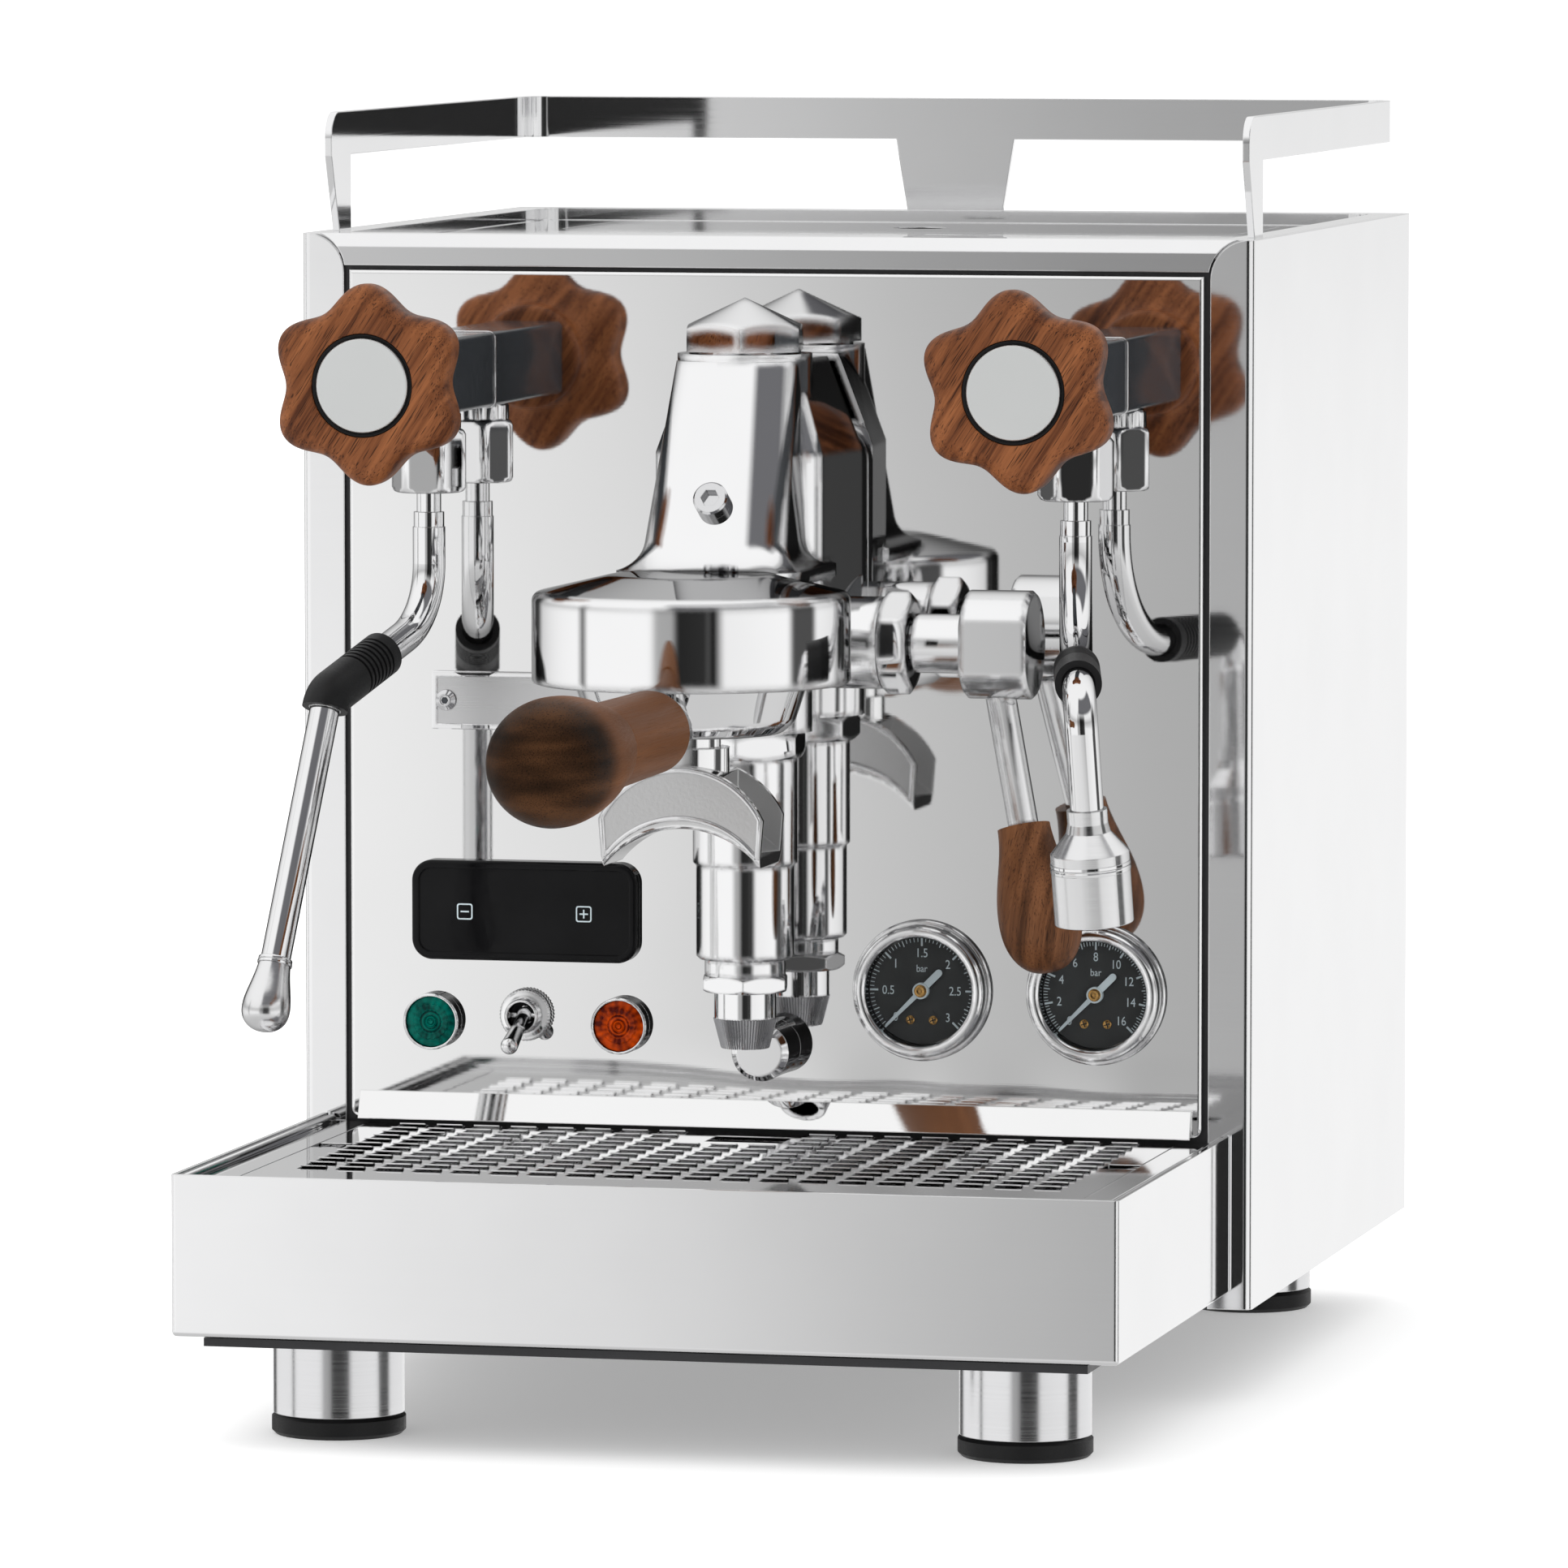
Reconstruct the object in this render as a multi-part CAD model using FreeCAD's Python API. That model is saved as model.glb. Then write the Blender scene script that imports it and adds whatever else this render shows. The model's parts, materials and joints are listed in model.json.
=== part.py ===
import FreeCAD, Part
import math
import os

# Espresso machine with a chrome lever group, two swivelling wands and a sliding drip tray.
# Millimetres, +Z up, the front faces -Y. Everything is drawn with Y = 0 at the front plane of the
# housing, and is moved when it is written, so that the origin is under the middle of the whole.

V = FreeCAD.Vector
X_AXIS = V(1, 0, 0)
Y_AXIS = V(0, 1, 0)
Z_AXIS = V(0, 0, 1)
FORWARD = V(0, -1, 0)
DOWN = V(0, 0, -1)

# Clearances
SLIDE_GAP = 0.3
FIT_GAP = 0.1
RUN_GAP = 0.05
PAST = 1.0

# Housing
HOUSING_WIDTH = 300.0
HOUSING_DEPTH = 271.0
HOUSING_BOTTOM = 29.0
HOUSING_TOP = 356.0
SHEET = 1.5
HOUSING_BEND = 2.5
FLANGE_WIDTH = 13.5
VENT_COUNT = 8
VENT_LENGTH = 70.0
VENT_HEIGHT = 3.0
VENT_ROUND = 1.47
VENT_PITCH = 9.0
VENT_X = -70.0
VENT_Z = 80.0

# Base frame
FLOOR_TOP = 33.7
FLOOR_T = 2.5
APRON_SETBACK = 2.0
APRON_INSET = 16.0
BULKHEAD_T = 2.0
BRACKET_T = 3.0
SADDLE_X = 70.0
SADDLE_WIDTH = 80.0

# Front panel
PANEL_GAP = 1.8
PANEL_PROUD = 1.3
PANEL_BOTTOM = 81.3
PANEL_TOP = 345.0
PANEL_EDGE_R = 1.2
PANEL_CORNER = 3.0
LIP_HEIGHT = 8.5
LIP_REACH = 3.0

# Cup tray and its rail
VISOR_GAP = 1.2
VISOR_PROUD = 0.8
VISOR_SLOPE = 2.2
CUP_TRAY_DEPTH = 6.0
CUP_RECESS = 4.0
CUP_RIM = 9.0
CUP_CORNER = 8.0
CUP_SLOT_COLUMNS = 11
CUP_SLOT_ROWS = 6
CUP_SLOT_LENGTH = 12.0
CUP_SLOT_WIDTH = 3.0
CUP_SLOT_PITCH_X = 21.0
CUP_SLOT_PITCH_Y = 20.0
RAIL_INSET = 4.0
RAIL_T = 2.2
RAIL_FRONT = 13.0
RAIL_BACK_INSET = 9.0
RAIL_TOP = 393.0
RAIL_BAND = 13.5
RAIL_CORNER = 8.0
RAIL_LEG_REAR = 35.0
RAIL_LEG_LEAN = 9.0
RAIL_BACK_LEG_TOP = 40.0
RAIL_BACK_LEG_FOOT = 32.0

# Drip tray and grate
TRAY_INSET = 6.5
TRAY_FRONT = -170.0
TRAY_TOP = 82.5
TRAY_WALL = 1.5
TRAY_BEND = 1.4
TRAY_FRAME_TOP = 80.0
TRAY_FRAME_T = 4.0
TRAY_LEDGE = 5.0
GRATE_INSET = 15.5
GRATE_BORDER = 19.0
GRATE_BACK = -5.5
GRATE_T = 1.5
SLOT_MARGIN = 9.0
SLOT_FRONT_MARGIN = 20.0
SLOT_PITCH_X = 11.85
SLOT_PITCH_Y = 10.4
SLOT_LENGTH = 8.3
SLOT_WIDTH = 5.6
SLOT_LAST_ROW = -9.6
FINGER_X = -2.5
FINGER_Y = -21.8
FINGER_WIDTH = 24.0
FINGER_DEPTH = 16.0
NOTCH_Y = -66.0
NOTCH_WIDTH = 12.0
NOTCH_DEPTH = 10.0

# Feet
FOOT_INSET = 44.5
FOOT_FRONT_INSET = 49.0
FOOT_REAR_INSET = 41.0
FOOT_SLEEVE_R = 19.75
FOOT_PAD_R = 20.2
FOOT_PAD_H = 6.5
FOOT_EDGE = 1.2

# Gauges
GAUGE_INSETS = (102.5, 48.0)
GAUGE_Z = 125.2
GAUGE_R = 21.8
GAUGE_CAN_R = 20.0
GAUGE_CAN_DEPTH = 26.0
GAUGE_PROUD = 7.5
BEZEL_FLANGE_H = 2.2
BEZEL_FLANGE_EDGE = 0.8
BEZEL_RING_R = 20.3
BEZEL_ROUND = 1.6
GAUGE_BORE_R = 16.6
DIAL_SEAT = 0.5
DIAL_T = 0.8
NEEDLE_HEIGHT = 2.4
NEEDLE_T = 0.5
NEEDLE_REACH = 15.4
NEEDLE_TAIL = 9.0
NEEDLE_ROOT_WIDTH = 1.6
NEEDLE_TIP_WIDTH = 0.8
NEEDLE_TAIL_WIDTH = 2.2
NEEDLE_HUB_R = 2.5
NEEDLE_PIN_R = 0.7
NEEDLE_REST_DEG = 225.0
GLASS_HEIGHT = 3.9
GLASS_T = 1.2

# Display
DISPLAY_INSET = 72.0
DISPLAY_Z = 147.0
DISPLAY_WIDTH = 72.0
DISPLAY_HEIGHT = 31.0
DISPLAY_CORNER = 6.5
DISPLAY_PROUD = 4.0
DISPLAY_FRAME = 2.4
DISPLAY_RECESS = 0.6
DISPLAY_BODY_INSET = 4.0
DISPLAY_BODY_DEPTH = 18.0

# Lamps and toggle switch
LAMP_INSETS = (42.3, 102.3)
LAMP_Z = 112.2
LAMP_R = 8.8
LAMP_PROUD = 5.0
LAMP_BORE_R = 8.0
LAMP_BODY_R = 6.0
LAMP_BODY_DEPTH = 16.0
LAMP_LENS_PROUD = 5.1
LAMP_SHOULDER = 4.4
LAMP_CROWN_R = 5.0
TOGGLE_Z = 114.8
TOGGLE_NUT_R = 8.2
TOGGLE_NUT_T = 3.2
TOGGLE_BUSH_R = 5.4
TOGGLE_BUSH_PROUD = 8.0
TOGGLE_BORE_R = 4.4
TOGGLE_PIVOT = 3.0
TOGGLE_PIN_R = 0.8
TOGGLE_BALL_R = 2.6
TOGGLE_LENGTH = 23.0
TOGGLE_ROOT_R = 1.7
TOGGLE_TIP_R = 2.7
TOGGLE_DOWN_DEG = 22.0
TOGGLE_BODY_DEPTH = 22.0

# Brew group
VALVE_Y = -37.0
BREW_Y = -106.0
COLUMN_R = 20.5
COLUMN_TOP = 322.0
COLUMN_BOTTOM = 207.0
NOSE_TOP_REACH = 20.0
NOSE_FOOT_REACH = 51.0
NOSE_TOP_HALF = 18.5
NOSE_FOOT_HALF = 22.5
NOSE_ROUND = 11.0
SKIRT_TOP = 266.2
SKIRT_R = 8.0
SKIRT_TURNS = (0, 25, 50, 75)
SHOULDER_BOTTOM = 240.0
SHOULDER_Z = 292.0
SHOULDER_TOP = 320.0
SHOULDER_FRONT = -51.0
SHOULDER_TOP_FRONT = -45.0
SHOULDER_FRONT_HALF = 26.0
SHOULDER_BACK_HALF = 30.0
SHOULDER_TOP_FRONT_HALF = 17.0
SHOULDER_TOP_BACK_HALF = 19.0
SHOULDER_ROUND = 7.0
SPIGOT_ZS = (250.0, 284.0)
GROUP_FLANGE_WIDTH = 60.0
GROUP_FLANGE_HEIGHT = 62.0
GROUP_FLANGE_T = 7.0
GROUP_FLANGE_Z = 267.0
GROUP_FLANGE_CORNER = 10.0
SPIGOT_R = 9.0
SPIGOT_REACH = 12.0
BOLT_INSET = 8.0
BOLT_HEAD_R = 5.0
BOLT_HEAD_H = 4.0
BOLT_R = 2.9
BOLT_GRIP = 5.5
BELL_R = 47.6
BELL_BOTTOM = 226.5
BELL_WALL_TOP = 253.5
BELL_TOP = 259.0
BELL_FOOT_EDGE = 1.5
BELL_EDGE = 3.0
BELL_CROWN_R = 24.0
BELL_CROWN_EDGE = 12.0
MOUTH_R = 36.6
LEDGE_TOP = 235.0
EAR_GROOVE_R = 42.0
BELL_CEILING = 250.6
CAP_FLATS = 34.0
CAP_HEX_H = 8.0
CAP_CONE_H = 8.2
CAP_COLLAR_H = 0.6
CAP_CORNER_DEG = 9.0
JET_SCREW_R = 5.3
JET_SCREW_H = 4.5
JET_SCREW_Z = 278.5
JET_SOCKET_FLATS = 5.0

# Lever
LEVER_Z = 234.5
LEVER_BOSS_R = 14.0
LEVER_BOSS_END = 43.5
GLAND_FLATS = 27.0
GLAND_LENGTH = 9.1
LEVER_SHAFT_R = 6.0
LEVER_SHAFT_IN = 13.5
BARREL_R = 9.0
BARREL_GAP = 1.0
BARREL_LENGTH = 15.8
HEAD_LENGTH = 20.6
HEAD_R = 16.5
HEAD_FLAT = 14.2
ROD_R = 4.65
ROD_OUT = 0.22
ROD_FORWARD = 0.17
ROD_TOP_Z = 226.0
GRIP_TOP_Z = 180.0
GRIP_LENGTH = 45.0
GRIP_TOP_R = 8.0
GRIP_R = 12.5

# Lower chambers of the group
CHAMBER_COLLAR_FLATS = 34.0
CHAMBER_COLLAR_H = 8.0
CHAMBER_FACE_DEG = 34.0
CHAMBER_UPPER_R = 16.0
CHAMBER_STEP_Z = 167.0
CHAMBER_LOWER_R = 15.0
CHAMBER_BOTTOM_Z = 137.4
CHAMBER_NECK_R = 12.4
CHAMBER_NECK_H = 5.0
CHAMBER_EDGE = 1.0
NOZZLE_NUT_FLATS = 25.0
NOZZLE_NUT_H = 5.0
NOZZLE_CORNER_DEG = 10.5
NOZZLE_R = 9.5
NOZZLE_STRAIGHT = 8.0
NOZZLE_TIP_R = 7.2
NOZZLE_LENGTH = 17.4
NOZZLE_BORE_R = 5.0

# Portafilter
BOWL_R = 34.8
BOWL_LOW_R = 31.0
BOWL_LOW_Z = 215.0
BOWL_FOOT_R = 27.0
BOWL_BOTTOM = 211.5
BOWL_FLOOR = 4.0
BOWL_ROUND = 4.5
BOWL_TOP = 244.0
BOWL_BORE_R = 31.2
EAR_R = 41.2
EAR_T = 4.4
EAR_DEG = 34.0
EAR_GAP_DEG = 44.0
UNLOCK_DEG = 45.0
BASKET_R = 30.8
BASKET_WALL = 0.8
BASKET_DEPTH = 24.0
BASKET_RIM = 34.4
BASKET_RIM_T = 1.2
GASKET_INNER_R = 30.0
GASKET_OUTER_R = 36.0
SCREEN_R = 29.4
SCREEN_T = 1.6
SCREEN_BOSS_R = 6.0
HANDLE_Z = 215.6
ARM_R = 7.4
ARM_ROOT_R = 7.6
ARM_FLARE = 2.55
FERRULE_R = 11.5
FERRULE_LENGTH = 3.8
HANDLE_TANG_R = 5.0
HANDLE_TANG = 40.0
HANDLE_NECK_R = 12.4
HANDLE_BALL_R = 18.7
HANDLE_LENGTH = 137.0
HANDLE_NECK_LENGTH = 36.0
HANDLE_NECK_END_R = 13.2
HANDLE_BULB_ROOT_R = 13.7
SPOUT_HUB_R = 11.5
SPOUT_HUB_BOTTOM = 197.0
SPOUT_HUB_TOP = 207.5
SPOUT_THREAD_R = 9.0
SPOUT_NECK_R = 6.3
SPOUT_TOP = 202.5
SPOUT_END_HALF = 25.2
SPOUT_END_Z = 186.7
SPOUT_TIP_HALF = 24.0
SPOUT_TIP_Z = 172.2
SPOUT_ARCH_TOP = 183.6
SPOUT_DEPTH = 28.0
SPOUT_WALL = 2.0
SPOUT_FLOOR = 2.5
SPOUT_ROUND = 3.0

# Steam and water valves
VALVE_X = 99.5
VALVE_Z = 314.4
VALVE_BAR = 23.0
VALVE_BAR_ROUND = 2.0
VALVE_BAR_FRONT = -85.0
VALVE_TAIL_R = 8.0
VALVE_TAIL = 20.0
SPINDLE_R = 5.0
SPINDLE_DEPTH = 35.0
KNOB_GAP = 1.0
KNOB_R = 26.5
KNOB_LOBE = 3.2
KNOB_LOBES = 6
KNOB_LOBE_POINTS = 8
KNOB_T = 28.0
KNOB_ROUND = 5.0
KNOB_CAP_R = 14.1
KNOB_CAP_T = 3.0
KNOB_CAP_EDGE = 0.3
KNOB_RECESS_R = 15.0

# Wands
WAND_X = 101.2
WAND_Y = -30.4
JOINT_NUT_FLATS = 20.4
JOINT_NUT_H = 19.5
JOINT_FACE_DEG = 13.0
JOINT_NECK_R = 9.9
JOINT_NECK_H = 5.4
JOINT_FLUTES = 12
JOINT_FLUTE_R = 0.8
BALL_R = 8.0
BALL_DROP = 14.9
NUT_MOUTH_R = 7.2
STEM_R = 3.75
STEM_LENGTH = 14.0
PIPE_R = 5.0
PIPE_COLLAR_R = 4.7
PIPE_COLLAR_H = 4.6
STEAM_ELBOW_Z = 239.5
STEAM_ELBOW_BEND = 23.0
STEAM_KNEE_SPLAY = 15.0
STEAM_KNEE_OUT = 61.5
STEAM_KNEE_Z = 219.3
STEAM_KNEE_BEND = 8.0
STEAM_END_SPLAY = 15.0
STEAM_END_OUT = 92.6
STEAM_END_Z = 141.9
STEAM_LOWER_R = 4.55
STEAM_NOZZLE_LENGTH = 22.0
STEAM_NOZZLE_R = 7.3
WATER_ELBOW_Z = 230.6
WATER_ELBOW_BEND = 36.0
WATER_KNEE_SPLAY = 12.4
WATER_KNEE_OUT = 93.0
WATER_KNEE_Z = 228.0
WATER_KNEE_BEND = 12.0
WATER_END_SPLAY = 14.0
WATER_END_OUT = 89.0
WATER_END_Z = 192.0
WATER_NOZZLE_LENGTH = 34.0
WATER_NOZZLE_R = 11.75
WATER_NOZZLE_WALL = 1.76
WATER_NOZZLE_HOLE = 8.5
WATER_COLLAR_R = 6.04
WATER_COLLAR_H = 4.08
WATER_NECK_R = 6.64
WATER_NECK_H = 6.8
WATER_FLARE_H = 12.92
STEAM_SLEEVE_OUT = 29.0
WATER_SLEEVE_OUT = 36.0
SLEEVE_R = 7.0
SLEEVE_TAIL = 0.4
SLEEVE_GROOVES = 7
GROOVE_FIRST = 4.5
GROOVE_PITCH = 2.3
GROOVE_WIDTH = 1.0
GROOVE_DEPTH = 0.9

# Name plate, stud and screws
PLATE_INSET = 42.1
PLATE_LENGTH = 74.0
PLATE_Z = 212.0
PLATE_HEIGHT = 18.0
PLATE_T = 1.2
PLATE_CORNER = 1.5
PLATE_SCREW_INSET = 4.5
STUD_Z = 106.5
STUD_R = 9.0
STUD_LENGTH = 18.0
STUD_EDGE = 1.8
STUD_THREAD_R = 3.0
STUD_THREAD = 12.0
SCREW_HEAD_R = 3.2
SCREW_HEAD_H = 1.8
SCREW_EDGE_H = 0.72
SCREW_TOP_R = 1.92
SCREW_R = 1.6
SCREW_LENGTH = 4.0
SCREW_INSET = 12.0

# Inside
BOILER_R = 50.0
BOILER_LENGTH = 190.0
BOILER_TANK_GAP = 18.0
BOILER_Z = 215.0
BOILER_WALL = 2.0
BOILER_FLANGE_R = 58.0
BOILER_FLANGE_T = 6.0
ELEMENT_PLUG_R = 22.0
ELEMENT_PLUG_T = 8.0
ELEMENT_R = 4.0
ELEMENT_LOOP = 24.0
ELEMENT_LENGTH = 150.0
ELEMENT_BEND = 9.6
TANK_WIDTH = 220.0
TANK_DEPTH = 82.0
TANK_BACK_INSET = 21.0
TANK_BOTTOM = 150.0
TANK_WALL = 2.5
TANK_CORNER = 10.0
LID_OVERHANG = 1.7
LID_T = 1.5
LID_SKIRT = 5.0
LID_GRIP_R = 9.0
PUMP_X = -60.0
PUMP_BACK_INSET = 56.0
PUMP_R = 22.0
PUMP_LENGTH = 70.0
PUMP_PORT_R = 6.0
PUMP_PORT = 10.0
PUMP_FOOT_H = 22.0
PUMP_FOOT_WIDTH = 40.0
CONTROL_X = 25.0
CONTROL_WIDTH = 70.0
CONTROL_BACK_INSET = 26.0
CONTROL_DEPTH = 60.0
CONTROL_HEIGHT = 75.0
CONTROL_ROUND = 3.0
INLET_X = 85.0
INLET_Z = 66.0
INLET_WIDTH = 30.0
INLET_HEIGHT = 24.0
INLET_FLANGE = 8.0
INLET_FLANGE_T = 2.5
INLET_DEPTH = 24.0
INLET_CORNER = 3.0
INLET_SOCKET_DEPTH = 16.0
INLET_WALL = 2.5
INLET_PIN = 2.0

# Places worked out from the sizes above
HALF = HOUSING_WIDTH / 2
INNER = HALF - SHEET
FLANGE_EDGE = HALF - FLANGE_WIDTH
FLANGE_ROUND = FLANGE_WIDTH - SHEET
PANEL_HALF = FLANGE_EDGE - PANEL_GAP
PANEL_FRONT = -PANEL_PROUD
FLOOR_BOTTOM = FLOOR_TOP - FLOOR_T
INNER_BEND = HOUSING_BEND - SHEET
APRON_HALF = HALF - APRON_INSET
CUP_TRAY_BOTTOM = HOUSING_TOP - CUP_TRAY_DEPTH
CUP_FLOOR = HOUSING_TOP - CUP_RECESS
RAIL_HALF = HALF - RAIL_INSET
RAIL_BACK = HOUSING_DEPTH - RAIL_BACK_INSET
BAND_BOTTOM = RAIL_TOP - RAIL_BAND
TRAY_BOTTOM = FLOOR_TOP + SLIDE_GAP
TRAY_HALF = HALF - TRAY_INSET
TRAY_BACK = -SLIDE_GAP - PAST
TRAY_INNER = TRAY_HALF - TRAY_WALL
GRATE_HALF = TRAY_HALF - GRATE_INSET
GRATE_FRONT = TRAY_FRONT + GRATE_BORDER
GRATE_SEAT = TRAY_FRAME_TOP - GRATE_T - SLIDE_GAP
SLOT_COLUMNS = int(2 * (GRATE_HALF - SLOT_MARGIN) // SLOT_PITCH_X)
SLOT_ROWS = int((SLOT_LAST_ROW - GRATE_FRONT - SLOT_FRONT_MARGIN) // SLOT_PITCH_Y) + 1
FOOT_X = HALF - FOOT_INSET
FOOT_FRONT_Y = TRAY_FRONT + FOOT_FRONT_INSET
FOOT_REAR_Y = HOUSING_DEPTH - FOOT_REAR_INSET
GAUGE_XS = [HALF - inset for inset in GAUGE_INSETS]
LAMP_XS = [inset - HALF for inset in LAMP_INSETS]
DISPLAY_X = DISPLAY_INSET - HALF
TOGGLE_X = DISPLAY_X
PLATE_LEFT = PLATE_INSET - HALF
BALL_Z = VALVE_Z - VALVE_BAR / 2 - BALL_DROP
NUT_BOTTOM = VALVE_Z - VALVE_BAR / 2 - JOINT_NECK_H - JOINT_NUT_H
STEAM_KNEE = (STEAM_KNEE_SPLAY, STEAM_KNEE_OUT, STEAM_KNEE_Z)
STEAM_END = (STEAM_END_SPLAY, STEAM_END_OUT, STEAM_END_Z)
STEAM_PATH = (STEAM_ELBOW_Z, STEAM_ELBOW_BEND, STEAM_KNEE, STEAM_KNEE_BEND, STEAM_END)
WATER_KNEE = (WATER_KNEE_SPLAY, WATER_KNEE_OUT, WATER_KNEE_Z)
WATER_END = (WATER_END_SPLAY, WATER_END_OUT, WATER_END_Z)
WATER_PATH = (WATER_ELBOW_Z, WATER_ELBOW_BEND, WATER_KNEE, WATER_KNEE_BEND, WATER_END)
KNOB_BACK = VALVE_BAR_FRONT - KNOB_GAP
KNOB_FRONT = KNOB_BACK - KNOB_T
TANK_HALF = TANK_WIDTH / 2
TANK_BACK = HOUSING_DEPTH - TANK_BACK_INSET
TANK_FRONT = TANK_BACK - TANK_DEPTH
TANK_TOP = CUP_FLOOR - LID_T - FIT_GAP
LID_HALF = TANK_HALF + LID_OVERHANG
BOILER_Y = TANK_FRONT - BOILER_TANK_GAP - BOILER_R
PUMP_Y = HOUSING_DEPTH - PUMP_BACK_INSET
CONTROL_FRONT = HOUSING_DEPTH - CONTROL_BACK_INSET - CONTROL_DEPTH
BARREL_START = LEVER_BOSS_END + GLAND_LENGTH + BARREL_GAP
HEAD_START = BARREL_START + BARREL_LENGTH
FLANGE_FRONT = PANEL_FRONT - GROUP_FLANGE_T
BOLT_HEAD_Y = SHEET + BULKHEAD_T
ARM_END = BELL_R + 2 * SLIDE_GAP
HANDLE_START = ARM_END + FERRULE_LENGTH
HANDLE_END_Y = BREW_Y - HANDLE_START - HANDLE_LENGTH
REAR_END_Y = HOUSING_DEPTH + INLET_FLANGE_T
MIDDLE_Y = (HANDLE_END_Y + REAR_END_Y) / 2


def box(x0, x1, y0, y1, z0, z1):
    """Block between two opposite corners."""
    return Part.makeBox(x1 - x0, y1 - y0, z1 - z0, V(x0, y0, z0))


def centred_box(x, width, y, depth, z0, z1):
    """Block centred over a point."""
    return box(x - width / 2, x + width / 2, y - depth / 2, y + depth / 2, z0, z1)


def cylinder(radius, start, end):
    """Round bar from one point to another."""
    along = end - start
    return Part.makeCylinder(radius, along.Length, start, along)


def placed(shape, base, axis):
    """The shape drawn about +Z from zero, turned to the axis and carried to the base."""
    shape.Placement = FreeCAD.Placement(base, FreeCAD.Rotation(Z_AXIS, axis))
    return shape


def turned(outline, base, axis):
    """Turned piece from the closed loop of (radius, height) points."""
    points = [V(radius, 0, height) for radius, height in outline]
    face = Part.Face(Part.makePolygon(points + points[:1]))
    return placed(face.revolve(V(0, 0, 0), Z_AXIS, 360), base, axis)


def turned_curve(curve, base, axis):
    """Turned piece whose outside is one smooth curve, closed along its axis."""
    points = [V(radius, 0, height) for radius, height in curve]
    spline = Part.BSplineCurve()
    spline.interpolate(points)
    first = V(0, 0, points[0].z)
    last = V(0, 0, points[-1].z)
    corners = [p for p in (points[-1], last, first, points[0])]
    edges = [spline.toShape()]
    for start, end in zip(corners, corners[1:]):
        if (end - start).Length > RUN_GAP:
            edges.append(Part.makeLine(start, end))
    face = Part.Face(Part.Wire(edges))
    return placed(face.revolve(V(0, 0, 0), Z_AXIS, 360), base, axis)


def prism(points, along):
    """Straight extrusion of a closed outline."""
    return Part.Face(Part.makePolygon(points + points[:1])).extrude(along)


def corner_turn(azimuth):
    """Turn of an upright hexagon with a corner towards an azimuth, counted from the front to the right."""
    return azimuth - 90


def face_turn(azimuth):
    """Turn of an upright hexagon with a flat towards an azimuth, counted from the front to the right."""
    return azimuth - 60


def hex_bar(flats, base, axis, length, turn=0):
    """Hexagonal bar with a corner towards the local X direction, or turned from there."""
    reach = flats / math.sqrt(3)
    turns = [math.radians(60 * k + turn) for k in range(6)]
    corners = [V(reach * math.cos(a), reach * math.sin(a), 0) for a in turns]
    return placed(prism(corners, V(0, 0, length)), base, axis)


def chamfered_hex(flats, base, axis, length, turn=0):
    """Hexagonal nut whose corners are turned off to a cone at both ends."""
    reach = flats / math.sqrt(3)
    drop = (reach - flats / 2) * math.tan(math.radians(30))
    edge = flats / 2
    cones = turned([(0, 0), (edge, 0), (reach, drop), (reach, length - drop), (edge, length), (0, length)],
                   base, axis)
    return hex_bar(flats, base, axis, length, turn).common(cones)


def straight_edges(shape, axis):
    """The shape's straight edges that run along the axis."""
    found = []
    for edge in shape.Edges:
        if isinstance(edge.Curve, Part.Line) and edge.Curve.Direction.cross(axis).Length < 1e-6:
            found.append(edge)
    return found


def rounded_box(x0, x1, y0, y1, z0, z1, axis, radius):
    """Block whose four edges along the axis are rounded."""
    block = box(x0, x1, y0, y1, z0, z1)
    return block.makeFillet(radius, straight_edges(block, axis))


def front_plate(x, z, width, height, corner, y_front, y_back):
    """Plate facing forward with rounded corners, centred at x and z."""
    return rounded_box(x - width / 2, x + width / 2, y_front, y_back,
                       z - height / 2, z + height / 2, Y_AXIS, corner)


def front_edges(shape, y):
    """Edges that lie in the plane facing forward at y."""
    return [e for e in shape.Edges if abs(e.BoundBox.YMin - y) < 1e-4 and abs(e.BoundBox.YMax - y) < 1e-4]


def ring_edges(shape, base, axis, places):
    """Round edges of a turned piece at the places given as (radius, height)."""
    found = []
    for edge in shape.Edges:
        if isinstance(edge.Curve, Part.Circle):
            height = (edge.Curve.Center - base).dot(axis)
            for radius, level in places:
                if abs(edge.Curve.Radius - radius) < 1e-4 and abs(height - level) < 1e-4:
                    found.append(edge)
    return found


def level_section(front_half, back_half, front, back, z, radius):
    """Outline of a level section whose two front corners are rounded."""
    turn = radius * (1 - math.sqrt(0.5))
    start = V(-front_half, front + radius, z)
    end = V(front_half, front + radius, z)
    left = V(-front_half + radius, front, z)
    right = V(front_half - radius, front, z)
    left_arc = Part.Arc(start, V(-front_half + turn, front + turn, z), left).toShape()
    right_arc = Part.Arc(right, V(front_half - turn, front + turn, z), end).toShape()
    back_left = V(-back_half, back, z)
    back_right = V(back_half, back, z)
    return Part.Wire([Part.makeLine(back_left, start), left_arc, Part.makeLine(left, right), right_arc,
                      Part.makeLine(end, back_right), Part.makeLine(back_right, back_left)])


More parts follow.
